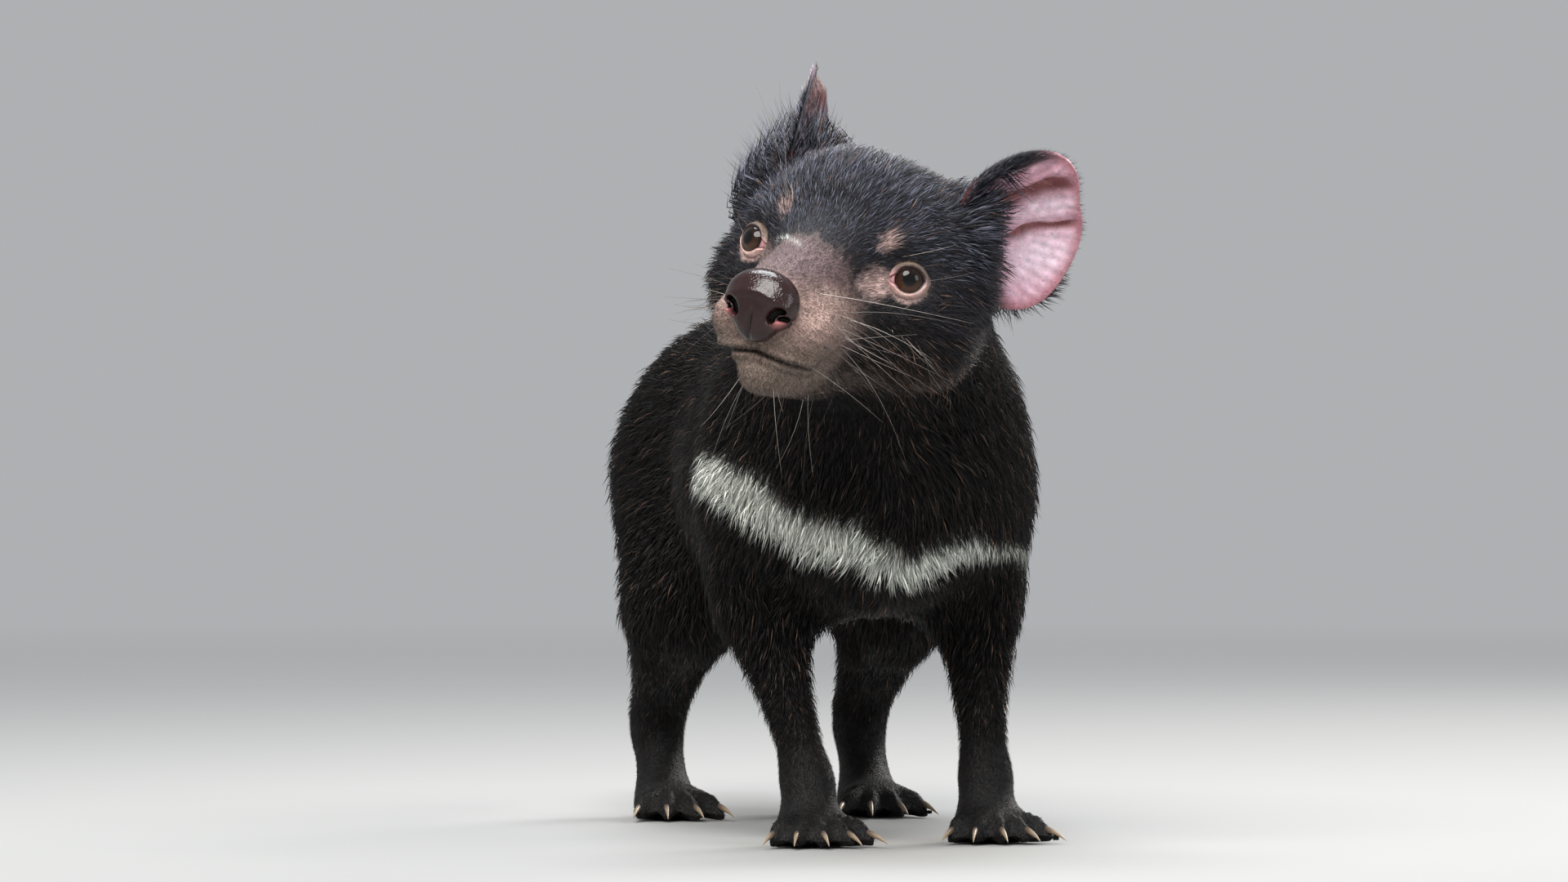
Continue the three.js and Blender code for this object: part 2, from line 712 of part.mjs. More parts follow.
const skullPiece = fleshPiece(
  fleshInHead,
  [-90, -40, -110],
  [90, 110, 90],
  HEAD_CELL,
  [behind(napeInHead), behind(muzzleBase)],
);
let headSolid = skullPiece;
for (const side of SIDES) {
  headSolid = headSolid.add(eyelids(side)).subtract(eyeball(side, GAP)).subtract(earCup(side, 2 * GAP));
}
headSolid = headSolid.subtract(jawBlock(GAP));
head.add(meshOf("head", headSolid, GREY_FUR));

const muzzlePiece = fleshPiece(
  fleshInHead,
  [-50, -80, -80],
  [50, 20, 30],
  MUZZLE_CELL,
  [ahead(muzzleBase)],
);
const muzzle = muzzlePiece.add(lipRoll(LIP_RADIUS)).subtract(jawBlock(GAP)).subtract(nosePad(GAP));
head.add(meshOf("muzzle", muzzle, MUZZLE_SKIN));
const jaw = muzzlePiece.add(lipRoll(-LIP_RADIUS)).intersect(jawBlock(0));
head.add(meshOf("lower_jaw", jaw, MUZZLE_SKIN));

const pad = nosePad(0).subtract(nostril(LEFT)).subtract(nostril(RIGHT));
head.add(meshOf("nose_pad", pad, NOSE_SKIN));
for (const side of SIDES) {
  const sideName = side === LEFT ? "left" : "right";
  head.add(meshOf(`eye_${sideName}`, eyeball(side, 0), EYE_BROWN));
  head.add(meshOf(`ear_${sideName}`, earCup(side, 0), EAR_SKIN));
}

// The origin goes to the middle of the model's box, at the height of the soles

devil.updateMatrixWorld(true);
const middle = new THREE.Box3().setFromObject(devil, true).getCenter(new THREE.Vector3());
devil.position.set(-middle.x, -middle.y, 0);

export default devil;
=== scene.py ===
# A young Tasmanian devil, life size, as a museum shows it: skin, coat, eyes, nose, ears, claws, whiskers.
# Lengths are in millimetres. Body points are in the stance frame: Y runs back from the shoulders, X to the
# animal's left, Z up from the floor. Head points are in the head frame: the origin lies between the eyes,
# -Y runs to the nose.
import math

import bmesh
import bpy
import numpy as np
from mathutils import Matrix, Vector
from mathutils.bvhtree import BVHTree


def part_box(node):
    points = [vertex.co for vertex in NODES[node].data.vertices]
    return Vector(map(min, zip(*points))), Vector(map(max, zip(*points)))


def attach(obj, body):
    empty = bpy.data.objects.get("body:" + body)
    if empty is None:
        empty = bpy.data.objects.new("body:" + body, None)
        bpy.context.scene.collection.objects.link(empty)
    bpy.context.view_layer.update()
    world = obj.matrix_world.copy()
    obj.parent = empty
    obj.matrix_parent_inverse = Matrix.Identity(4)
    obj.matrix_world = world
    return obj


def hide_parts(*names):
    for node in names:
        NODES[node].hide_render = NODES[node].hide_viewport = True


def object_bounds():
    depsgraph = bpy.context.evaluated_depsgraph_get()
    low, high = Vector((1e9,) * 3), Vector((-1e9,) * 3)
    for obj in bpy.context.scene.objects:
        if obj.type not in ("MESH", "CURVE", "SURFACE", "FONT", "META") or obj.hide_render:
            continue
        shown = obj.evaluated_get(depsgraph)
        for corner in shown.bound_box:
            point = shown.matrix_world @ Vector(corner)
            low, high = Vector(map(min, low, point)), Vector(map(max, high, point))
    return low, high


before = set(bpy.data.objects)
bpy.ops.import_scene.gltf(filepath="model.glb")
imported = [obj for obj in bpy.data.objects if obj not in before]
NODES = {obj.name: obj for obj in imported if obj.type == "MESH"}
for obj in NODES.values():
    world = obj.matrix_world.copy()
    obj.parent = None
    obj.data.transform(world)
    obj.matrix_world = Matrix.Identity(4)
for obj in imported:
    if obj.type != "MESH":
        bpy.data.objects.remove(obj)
cad_low, cad_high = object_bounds()
MM = 0.001
LEFT, RIGHT = 1, -1
SIDE_NAMES = {LEFT: "left", RIGHT: "right"}
random = np.random.default_rng(11)

# Driving dimensions of the head
HEAD_PLACE = np.array([-34.5, -95.0, 229.0])
HEAD_YAW = 34.3
HEAD_PITCH = 5.0
HEAD_ROLL = 13.4
EYE_CENTRE = np.array([30.9, 8.0, -0.4])
EYE_RADIUS = 9.0
EYE_TURN = 27.0
NOSE_CENTRE = np.array([0.0, -50.0, -21.0])
NOSE_RADII = np.array([14.5, 9.5, 12.5])
MOUTH_Z = -40.0
MOUTH_CORNER = -22.0

# The camera stands in front of the animal, a little to its right, and looks level
CAMERA_AZIMUTH = -11.0
CAMERA_ELEVATION = 1.2
CAMERA_DISTANCE = 5000.0
CAMERA_TARGET = np.array([-30.2, 15.9, 156.8])
CAMERA_LENS = 293.0

# Driving dimensions of the ears, as the rim seen from the front of the cup
EAR_REACH = 32.0
EAR_STEM = 17.0
EAR_WALL = 1.5
EAR_SWELLS = ((7.0, 184.0, 30.0), (-4.5, 100.0, 26.0), (-6.0, 270.0, 45.0))
EARS = {
    LEFT: {
        "root": (42, 44, 18),
        "growth": (0.53, 0.53, 0.66),
        "facing": (0.838, -0.444, -0.317),
        "cup": 12.0,
        "upright": 0.25,
        "brush": (6.0, 32),
        "lift": (24, 32),
        "furred_to": 32,
        "hair": 5.0,
    },
    RIGHT: {
        "root": (-46, 45, 22),
        "growth": (-0.1, 0.25, 0.96),
        "facing": (-0.918, -0.396, 0),
        "cup": 8.0,
        "upright": 0.85,
        "brush": (16.0, 33),
        "lift": (52, 38),
        "furred_to": 18,
        "hair": 11.0,
    },
}

# Driving dimensions of the feet
FORE_FOOT = {LEFT: (47, -6), RIGHT: (-27, -22)}
HIND_FOOT = {LEFT: (43, 206), RIGHT: (-43, 196)}
FORE_TOES = {"count": 5, "spread": 64, "reach": 21, "back": 6, "fan": 27, "middle": 0}
HIND_TOES = {"count": 4, "spread": 44, "reach": 22, "back": 8, "fan": 30, "middle": 15}
TOE_DEPTH = 2.0
SOLE_DROP = 2.6

# The grooves between the toes: where they start, are deep and end ahead of the foot's middle, at which
# angles to both sides they fade, and at which heights
GROOVE_REACH = (6, 15, 36)
GROOVE_FAN = (62, 76)
GROOVE_TOP = (13, 22)

LOWEST_SKIN = 0.4
LOWEST_HAIR = 2.4
CLAW_LENGTH = 11.0
CLAW_RADIUS = 1.7
CLAW_DROP = 4.0
CLAW_HEIGHT = 5.6
CLAW_ROW = 20
CLAW_STEPS = 8
CLAW_SIDES = 10

# Cells of the skin, fine on the face, and how far its solids swell to close the cuts between them
SKIN_CELL = 2.6
CLOSE_GAPS = 0.3
UNWRAP_CELL = 7.0

# How deep the skin lies under the outer surface of the coat, and the length of the coat on the body
BODY_DEPTH = 4.4
LEG_DEPTH = 1.6
TAIL_DEPTH = 2.6
BODY_HAIR = 11.5


# Frames


def turn(axis, degrees):
    return np.array(Matrix.Rotation(math.radians(degrees), 3, axis))


HEAD_TURN = turn("Z", -HEAD_YAW) @ turn("X", -HEAD_PITCH) @ turn("Y", HEAD_ROLL)


def middle_of(node):
    low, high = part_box(node)
    return np.array((low + high) / 2) / MM


def from_head(points):
    return np.asarray(points) @ HEAD_TURN.T + HEAD_PLACE


def into_head(points):
    return (np.asarray(points) - HEAD_PLACE) @ HEAD_TURN


between_eyes = (middle_of("eye_left") + middle_of("eye_right")) / 2
STANCE_PLACE = between_eyes - from_head(EYE_CENTRE * (0, 1, 1))


def to_frame(points):
    return (np.asarray(points) + STANCE_PLACE) * MM


def to_stance(points):
    return np.asarray(points) / MM - STANCE_PLACE


# Numbers along a form


def rise(value, start, end):
    share = np.clip((value - start) / (end - start), 0, 1)
    return share * share * (3 - 2 * share)


def fall(value, start, end):
    return 1 - rise(value, start, end)


def bell(value, middle, width, power=2):
    """1 at the middle, falling to 0 some widths to both sides of it."""
    return np.exp(-(((value - middle) / width) ** power))


def near_angle(angle, middle, width):
    return bell(math.remainder(angle - middle, 2 * math.pi), 0, width)


def lengths(vectors):
    return np.linalg.norm(vectors, axis=-1)


def mottle(points, size):
    """A number between -1 and 1 that varies over the surface without a regular pattern."""
    x, y, z = np.asarray(points).T / size
    first = np.sin(2.1 * x + 1.3 * y) * np.sin(1.7 * z - 2.3 * y + 1.1)
    second = np.sin(3.4 * z + 1.9 * x) * np.sin(2.9 * y - 1.3 * x + 0.6)
    return (first + second) / 2


def spot(points, centre, radii, ragged=0.0):
    reach = lengths((points - np.asarray(centre)) / np.asarray(radii))
    return fall(reach + ragged * mottle(points, 2.2), 0.55, 1.25)


def unit(vectors):
    return vectors / np.maximum(lengths(vectors)[..., None], 1e-9)


def colour(red, green, blue):
    share = np.array([red, green, blue]) / 255
    return np.where(share < 0.04045, share / 12.92, ((share + 0.055) / 1.055) ** 2.4)


def blend(a, b, share):
    return a * (1 - share) + b * share


def mix(a, b, share):
    """A blend of rows, such as colours or directions."""
    return blend(a, b, np.asarray(share)[..., None])


def eye_centre(side):
    return EYE_CENTRE * (side, 1, 1)


# Where the head fades into the body, for each use: how far behind the eyes, and how far from their middle
FADE_SMOOTHING = (20, 50, 80, 90)
FADE_DEPTH = (42, 62, 75, 95)
FADE_LENGTH = (30, 60, 78, 92)
FADE_TINT = (30, 60, 78, 94)


def head_share(heads, fade):
    """1 on the head and 0 on the body."""
    front, back, near, far = fade
    return fall(heads[:, 1], front, back) * fall(lengths(heads), near, far)


# Finishes

NOISE_ROUGHNESS = 0.55


class Finish:
    """A material and short ways to add its nodes."""

    def __init__(self, name, roughness, base=(0.5, 0.5, 0.5)):
        self.material = bpy.data.materials.new(name)
        self.material.use_nodes = True
        self.tree = self.material.node_tree
        self.shader = self.tree.nodes["Principled BSDF"]
        self.set(Roughness=roughness, Base_Color=(*base, 1))

    def set(self, **values):
        for key, value in values.items():
            self.shader.inputs[key.replace("_", " ")].default_value = value

    def node(self, kind, inputs=(), **values):
        made = self.tree.nodes.new(kind)
        for key, value in values.items():
            setattr(made, key, value)
        for key, value in dict(inputs).items():
            made.inputs[key].default_value = value
        return made

    def link(self, source, target):
        self.tree.links.new(source, target)

    def place(self):
        return self.node("ShaderNodeTexCoord").outputs["Object"]

    def texture(self, scale, detail=None):
        """Noise of a scale and a detail, or cells of a scale, laid in the object's own coordinates."""
        if detail is None:
            made, output = self.node("ShaderNodeTexVoronoi", {"Scale": scale}), "Distance"
        else:
            inputs = {"Scale": scale, "Detail": detail, "Roughness": NOISE_ROUGHNESS}
            made, output = self.node("ShaderNodeTexNoise", inputs), "Fac"
        self.link(self.place(), made.inputs["Vector"])
        return made.outputs[output]

    def spread(self, value, low, high, start=0.0, end=1.0):
        limits = {"From Min": start, "From Max": end, "To Min": low, "To Max": high}
        made = self.node("ShaderNodeMapRange", limits)
        self.link(value, made.inputs["Value"])
        return made.outputs["Result"]

    def shaded(self, colour_output, brightness):
        """The colour, lighter or darker by a number that varies over the surface."""
        made = self.node("ShaderNodeMix", {"Factor": 1.0}, data_type="RGBA", blend_type="MULTIPLY")
        grey = self.node("ShaderNodeCombineColor")
        for channel in ("Red", "Green", "Blue"):
            self.link(brightness, grey.inputs[channel])
        self.link(colour_output, made.inputs[6])
        self.link(grey.outputs["Color"], made.inputs[7])
        return made.outputs[2]

    def bump(self, height, strength, depth, under):
        made = self.node("ShaderNodeBump", {"Strength": strength, "Distance": depth * MM})
        self.link(height, made.inputs["Height"])
        if under is not None:
            self.link(under, made.inputs["Normal"])
        self.link(made.outputs["Normal"], self.shader.inputs["Normal"])
        return made.outputs["Normal"]


def finished(name, roughness, speckle=None, bumps=(), plain=None, **settings):
    """A finish of the painted colour or a plain one, under its speckle and its bumps, lowest first.

    A speckle is a noise's scale and detail and its darkest and brightest share. A bump is a texture, a
    strength and a depth in millimetres, where (scale, detail) is a noise and (scale,) is cells.
    """
    made = Finish(name, roughness)
    if plain is None:
        shade = made.node("ShaderNodeVertexColor", layer_name="Colour").outputs["Color"]
    else:
        shade = made.node("ShaderNodeRGB").outputs["Color"]
        shade.default_value = (*plain, 1)
    if speckle:
        shade = made.shaded(shade, made.spread(made.texture(*speckle[:2]), *speckle[2:]))
    made.link(shade, made.shader.inputs["Base Color"])
    under = None
    for texture, strength, depth in bumps:
        under = made.bump(made.texture(*texture), strength, depth, under)
    made.set(**settings)
    return made


# Colours
BODY_BLACK = colour(19, 16, 16)
BODY_TIP = colour(66, 56, 52)
# HEAD_GREY: the head's dark fur, with part of a painted bluish sheen in it
HEAD_GREY = colour(34, 34, 41)
# A painted bluish sheen of the sky on the tips of the head's hair
HEAD_SHEEN_TIP = colour(112, 114, 130)
BROWN_TIP = colour(104, 80, 66)
PALE_TIP = colour(190, 174, 162)
MUZZLE_PINK = colour(150, 124, 116)
MUZZLE_TAN = colour(180, 152, 143)
MUZZLE_MAUVE = colour(92, 76, 82)
CHIN_BROWN = colour(124, 108, 98)
MOUTH_SHADE = colour(34, 20, 18)
MOUTH_RED = colour(120, 62, 54)
PALE_SKIN = colour(202, 172, 166)
LID_PINK = colour(206, 172, 164)
LID_TAN = colour(118, 102, 90)
LID_EDGE = colour(40, 24, 24)
CORNER_PINK = colour(186, 134, 138)
NOSE_RED = colour(38, 22, 22)
NOSTRIL_PINK = colour(170, 104, 104)
EAR_PINK = colour(214, 164, 180)
EAR_PALE = colour(242, 216, 230)
EAR_RED = colour(128, 68, 64)
EAR_RIM = colour(166, 104, 112)
EAR_LILAC = colour(140, 120, 136)
EAR_BACK = colour(70, 58, 62)
BAND_WHITE = colour(226, 228, 220)
IRIS_BROWN = colour(70, 44, 28)
IRIS_DARK = colour(20, 13, 12)
PUPIL_BLACK = colour(7, 6, 7)
CLAW_HORN = colour(150, 132, 110)
CLAW_ROOT = colour(84, 70, 62)
WHISKER_PALE = colour(190, 182, 174)
WHISKER_DARK = colour(44, 36, 36)

SKIN_BUMPS = [((300, 6), 0.7, 0.9), ((1300,), 0.7, 0.4)]
SKIN = finished("skin", 0.6, (1100, 3, 0.45, 1.55), SKIN_BUMPS, Specular_IOR_Level=0.25)
COAT = finished("coat", 0.52, (160, 2, 0.72, 1.28), Specular_IOR_Level=0.22)
NOSE_BUMPS = [((1300,), 0.35, 0.3), ((300, 2), 0.45, 0.8)]
NOSE = finished("nose", 0.2, (500, 3, 0.7, 1.35), NOSE_BUMPS, Specular_IOR_Level=0.3)
NOSE.link(NOSE.spread(NOSE.texture(450, 3), 0.08, 0.22), NOSE.shader.inputs["Roughness"])
NOSE.set(Coat_Weight=0.3, Coat_Roughness=0.08, Coat_IOR=1.35)
EAR_BUMPS = [((240, 5), 0.8, 0.8), ((1500, 2), 0.5, 0.2)]
EAR = finished("ear", 0.55, (420, 5, 0.6, 1.4), EAR_BUMPS, Specular_IOR_Level=0.25)
EAR.set(Subsurface_Weight=0.1, Subsurface_Scale=0.002)
EAR_OUTSIDE = {}
for side, shade in ((LEFT, EAR_BACK), (RIGHT, mix(EAR_BACK, EAR_RED, 0.5) * 1.1)):
    name = f"ear_outside_{SIDE_NAMES[side]}"
    EAR_OUTSIDE[side] = finished(name, 0.6, (420, 5, 0.6, 1.3), [((300, 5), 0.6, 0.6)], shade)
    EAR_OUTSIDE[side].set(Specular_IOR_Level=0.2)
LID = finished("lid", 0.38, (1500, 3, 0.8, 1.15), [((1100, 4), 0.6, 0.35)], Specular_IOR_Level=0.35)
LID.set(Subsurface_Weight=0.08, Subsurface_Scale=0.001)
EYE = finished("eye", 0.04, IOR=1.376, Specular_IOR_Level=0.5)
CLAW = finished("claw", 0.35, (900, 4, 0.75, 1.15), [((1200, 3), 0.3, 0.15)])
WHISKER = finished("whisker", 0.35, (200, 2, 0.85, 1.15))


# Pieces


def add_object(name, data):
    made = bpy.data.objects.new(name, data)
    bpy.context.scene.collection.objects.link(made)
    return made


def piece(name, mesh, finish, replaces=()):
    mesh.materials.clear()
    mesh.materials.append(finish.material)
    mesh.polygons.foreach_set("use_smooth", np.ones(len(mesh.polygons), bool))
    made = add_object(name, mesh)
    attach(made, "root")
    if replaces:
        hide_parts(*replaces)
    return made


def values_of(items, key, width, kind=np.float32):
    """One row of numbers for each item of a mesh."""
    flat = np.empty(len(items) * width, kind)
    items.foreach_get(key, flat)
    return flat.reshape(-1, width)


def points_of(mesh):
    return to_stance(values_of(mesh.vertices, "co", 3).astype(float))


def set_points(mesh, points):
    mesh.vertices.foreach_set("co", to_frame(points).astype(np.float32).ravel())
    mesh.update()


def edges_of(mesh):
    return values_of(mesh.edges, "vertices", 2, np.int32)


def normals_of(mesh):
    return unit(values_of(mesh.vertices, "normal", 3).astype(float))


def triangles_of(mesh, key="vertices"):
    mesh.calc_loop_triangles()
    return values_of(mesh.loop_triangles, key, 3, np.int32)


def paint(mesh, colours):
    layer = mesh.color_attributes.new("Colour", "FLOAT_COLOR", "POINT")
    full = np.ones((len(colours), 4), np.float32)
    full[:, :3] = colours
    layer.data.foreach_set("color", full.ravel())


def mesh_from(bm, name):
    """A bmesh in stance millimetres becomes a mesh in the frame."""
    bmesh.ops.translate(bm, verts=bm.verts[:], vec=Vector(STANCE_PLACE))
    bmesh.ops.scale(bm, verts=bm.verts[:], vec=(MM, MM, MM))
    mesh = bpy.data.meshes.new(name)
    bm.to_mesh(mesh)
    bm.free()
    return mesh


def piece_from(bm, name, colours, finish, replaces=()):
    mesh = mesh_from(bm, name)
    paint(mesh, np.array(colours))
    return piece(name, mesh, finish, replaces)


def close_rings(bm, rings):
    """A wall of four-sided faces between each ring of corners and the next."""
    for ring, upper in zip(rings, rings[1:]):
        for k in range(len(ring)):
            after = (k + 1) % len(ring)
            bm.faces.new((ring[k], ring[after], upper[after], upper[k]))


def face_outwards(bm):
    bmesh.ops.recalc_face_normals(bm, faces=bm.faces[:])
    if bm.calc_volume(signed=True) < 0:
        bmesh.ops.reverse_faces(bm, faces=bm.faces[:])


def face_towards(bm, direction):
    """An open sheet is turned over where most of it faces away from a direction of the head."""
    bm.normal_update()
    if sum(face.normal.dot(Vector(HEAD_TURN @ direction)) for face in bm.faces) < 0:
        bmesh.ops.reverse_faces(bm, faces=bm.faces[:])


def give_wall(made, thickness):
    wall = made.modifiers.new("wall", "SOLIDIFY")
    wall.thickness = thickness * MM
    wall.offset = -1
    return wall


def mesh_of_arrays(name, vertices, faces):
    mesh = bpy.data.meshes.new(name)
    mesh.vertices.add(len(vertices))
    mesh.loops.add(faces.size)
    mesh.polygons.add(len(faces))
    mesh.vertices.foreach_set("co", to_frame(vertices).astype(np.float32).ravel())
    mesh.loops.foreach_set("vertex_index", faces.astype(np.int32).ravel())
    mesh.polygons.foreach_set("loop_start", np.arange(0, faces.size, 3, dtype=np.int32))
    mesh.update(calc_edges=True)
    return mesh


def tube(sides, rings):
    """Triangles between rings of corners that are numbered ring by ring."""
    shape = []
    for low in range(0, (rings - 1) * sides, sides):
        for k in range(sides):
            after = (k + 1) % sides
            shape.append((low + k, low + after, low + sides + after))
            shape.append((low + k, low + sides + after, low + sides + k))
    return shape


def copies(shape, count, corners):
    """The triangles of many copies of one shape."""
    first = np.arange(count)[:, None, None] * corners
    return (first + np.array(shape)).reshape(-1, 3)


def relax(points, edges, weight, rounds):
    count = len(points)
    valence = np.maximum(np.bincount(edges.ravel(), minlength=count), 1)
    for _ in range(rounds):
        mean = np.empty_like(points)
        for axis in range(points.shape[1]):
            there = np.bincount(edges[:, 0], points[edges[:, 1], axis], count)
            back = np.bincount(edges[:, 1], points[edges[:, 0], axis], count)
            mean[:, axis] = (there + back) / valence
        points = points + weight[:, None] * (mean - points)
    return points


# The skin: one closed surface round all the flesh

HEAD_NODES = ["head", "muzzle", "lower_jaw"]
TRUNK_NODES = ["neck", "chest", "belly", "rump", "tail_base", "tail_end"]
LEG_NODES = ["foreleg", "forepaw", "thigh", "shank", "hindpaw"]
FLESH_NODES = HEAD_NODES + TRUNK_NODES
for side in (LEFT, RIGHT):
    FLESH_NODES += [f"{leg}_{SIDE_NAMES[side]}" for leg in LEG_NODES]
FILLED_NODES = ["eye_left", "eye_right", "nose_pad"]


def remeshed(names, cell):
    bm = bmesh.new()
    for name in names:
        bm.from_mesh(NODES[name].data)
    bmesh.ops.remove_doubles(bm, verts=bm.verts[:], dist=1e-7)
    bm.normal_update()
    for vertex in bm.verts:
        vertex.co += vertex.normal * CLOSE_GAPS * MM
    rough = bpy.data.meshes.new("rough")
    bm.to_mesh(rough)
    bm.free()
    holder = add_object("rough", rough)
    even = holder.modifiers.new("even", "REMESH")
    even.mode = "VOXEL"
    even.voxel_size = cell * MM
    graph = bpy.context.evaluated_depsgraph_get()
    mesh = bpy.data.meshes.new_from_object(holder.evaluated_get(graph))
    bpy.data.objects.remove(holder)
    bpy.data.meshes.remove(rough)
    return mesh


def keep_largest(bm):
    seen = set()
    best = []
    for start in bm.verts:
        if start in seen:
            continue
        group = [start]
        seen.add(start)
        for vertex in group:
            for edge in vertex.link_edges:
                other = edge.other_vert(vertex)
                if other not in seen:
                    seen.add(other)
                    group.append(other)
        if len(group) > len(best):
            best = group
    kept = set(best)
    bmesh.ops.delete(bm, geom=[v for v in bm.verts if v not in kept], context="VERTS")


def split_cells(bm, inside):
    bm.verts.ensure_lookup_table()
    places = into_head(to_stance(np.array([v.co for v in bm.verts])))
    chosen = inside(places)
    bm.verts.index_update()
    edges = [e for e in bm.edges if chosen[e.verts[0].index] and chosen[e.verts[1].index]]
    bmesh.ops.subdivide_edges(bm, edges=edges, cuts=1, use_grid_fill=True)


# Regions of the head with finer cells: none of it farther back, farther from the middle or lower than this
FACE_REGION = (26, 82, -66)
MUZZLE_REGION = (-12, 74, -62)
EYE_REGION = 17


def in_region(places, region):
    back, reach, foot = region
    return (places[:, 1] < back) & (lengths(places) < reach) & (places[:, 2] > foot)


def on_face(places):
    return in_region(places, FACE_REGION)


def on_muzzle_or_eyes(places):
    chosen = in_region(places, MUZZLE_REGION)
    for side in (LEFT, RIGHT):
        chosen |= lengths(places - eye_centre(side)) < EYE_REGION
    return chosen


def eye_frame(side):
    """The directions across, up and out of an eye's opening."""
    angle = math.radians(EYE_TURN)
    out = unit(np.array([side * math.sin(angle), -math.cos(angle), 0.05]))
    across = unit(np.cross(out, (0, 0, 1)))
    if across[0] * side < 0:
        across = -across
    return across, unit(np.cross(out, across) * side), out


def sink_below(places, centre, radii, depth):
    """Points inside an oval go down below its surface."""
    centre, radii = np.asarray(centre), np.asarray(radii)
    offset = (places - centre) / radii
    reach = lengths(offset)
    inner = 1 - depth / radii.min()
    share = fall(reach, 1.0, 1.25)[:, None]
    sunk = centre + offset / np.maximum(reach, 1e-6)[:, None] * inner * radii
    return np.where(reach[:, None] > inner, places * (1 - share) + sunk * share, places)


def mouth_height(x):
    return MOUTH_Z - 2.2 * np.sin(np.minimum(np.abs(x) / 12, 1.6))


# Swellings and hollows on each side of the face: centre, radii and height
FACE_FORMS = (
    ((27, 0, 12), (11, 7, 5), 1.2),
    ((33, 4, -15), (10, 8, 5), 0.8),
    ((22, -8, -5), (7, 8, 6), -1.2),
)
LIP_PAD = ((17, -33, -29), (9, 13, 8))
SINK_ROUND_SOLIDS = 1.6


def sculpt_face(places, normals):
    """Folds, lips and hollows of the face, in the head frame."""
    x, y, z = places.T
    front = fall(y, MOUTH_CORNER - 3, MOUTH_CORNER + 4)
    above = z - mouth_height(x)
    groove = bell(above, 0, 0.8) * front * 2.4
    lips = (bell(above, 2.0, 1.3) + bell(above, -2.2, 1.5)) * front * 0.7
    philtrum = bell(x, 0, 0.8) * rise(-y, 36, 42) * fall(np.abs(z + 36), 3, 6)
    pads = spot(places, *LIP_PAD) + spot(places * (-1, 1, 1), *LIP_PAD)
    rows = 0.18 * np.sin(z * 1.5 + 0.2 * y) * pads
    places = places + normals * (lips + pads * 1.3 + rows - groove - philtrum)[:, None]
    for side in (LEFT, RIGHT):
        mirrored = places * (side, 1, 1)
        height = sum(spot(mirrored, centre, radii) * high for centre, radii, high in FACE_FORMS)
        places = places + normals * height[:, None]
        places = sink_below(places, eye_centre(side), (EYE_RADIUS,) * 3, SINK_ROUND_SOLIDS)
    return sink_below(places, NOSE_CENTRE, NOSE_RADII, SINK_ROUND_SOLIDS)


def coat_depth(places, heads):
    """How far the skin lies under the outer surface of the coat."""
    on_face = 0.5 + 2.6 * rise(lengths(heads - NOSE_CENTRE), 25, 85)
    depth = blend(BODY_DEPTH, on_face, head_share(heads, FADE_DEPTH))
    low = fall(places[:, 2], 22, 70)
    tail = rise(places[:, 1], 255, 300)
    return blend(blend(depth, LEG_DEPTH, low * (1 - tail)), TAIL_DEPTH, tail)


def part_toes(points, normals):
    """Grooves between the toes, which fan out round the front of each foot."""
    for feet, toes in ((FORE_FOOT, FORE_TOES), (HIND_FOOT, HIND_TOES)):
        for foot in feet.values():
            across = points[:, 0] - foot[0]
            ahead = foot[1] - toes["back"] - points[:, 1]
            reach = np.hypot(across, ahead)
            angle = np.degrees(np.arctan2(across, ahead))
            ridge = np.cos(np.radians((angle - toes["middle"]) * 360 / toes["fan"]))
            start, deep, end = GROOVE_REACH
            front = rise(reach, start, deep) * (reach < end) * fall(np.abs(angle), *GROOVE_FAN)
            low = fall(points[:, 2], *GROOVE_TOP)
            points = points + normals * (TOE_DEPTH * (ridge - 0.6) / 1.6 * front * low)[:, None]
    return points


def make_skin():
    bm = bmesh.new()
    bm.from_mesh(remeshed(FLESH_NODES + FILLED_NODES, SKIN_CELL))
    keep_largest(bm)
    split_cells(bm, on_face)
    split_cells(bm, on_muzzle_or_eyes)
    bm.normal_update()
    mesh = bpy.data.meshes.new("skin")
    bm.to_mesh(mesh)
    bm.free()
    points, edges = points_of(mesh), edges_of(mesh)
    heads = into_head(points)
    on_head = head_share(heads, FADE_SMOOTHING)
    on_paw = fall(points[:, 2], 20, 45)
    plain = np.maximum(1 - np.maximum(on_head, on_paw), 0)
    points = relax(points, edges, plain * 0.5, 45)
    points = relax(points, edges, on_head * 0.5 * rise(heads[:, 1], -34, 0), 26)
    points = relax(points, edges, 0.5 - 0.3 * on_paw, 7)
    set_points(mesh, points)
    normals = normals_of(mesh)
    heads = into_head(points)
    points = points - normals * coat_depth(points, heads)[:, None]
    points = part_toes(points, normals)
    points[:, 2] -= SOLE_DROP * fall(points[:, 2], 3, 22)
    points[:, 2] = np.maximum(points[:, 2], LOWEST_SKIN)
    set_points(mesh, points)
    normals = normals_of(mesh)
    face = on_face(into_head(points))
    heads = into_head(points[face])
    points[face] = from_head(sculpt_face(heads, normals[face] @ HEAD_TURN))
    set_points(mesh, points)
    return mesh


# The markings, with painted sheen and painted shade, the same for skin and coat

BAND_X = [-70, -53, -42, -33, -12, -5, 7, 14, 22, 36, 46, 66]
BAND_TOP = [159, 151, 141, 133, 129, 123, 116, 120, 123.5, 124, 121, 118]
BAND_FOOT = [146, 131, 123, 117, 113, 109, 105, 108, 113, 117, 117, 117]
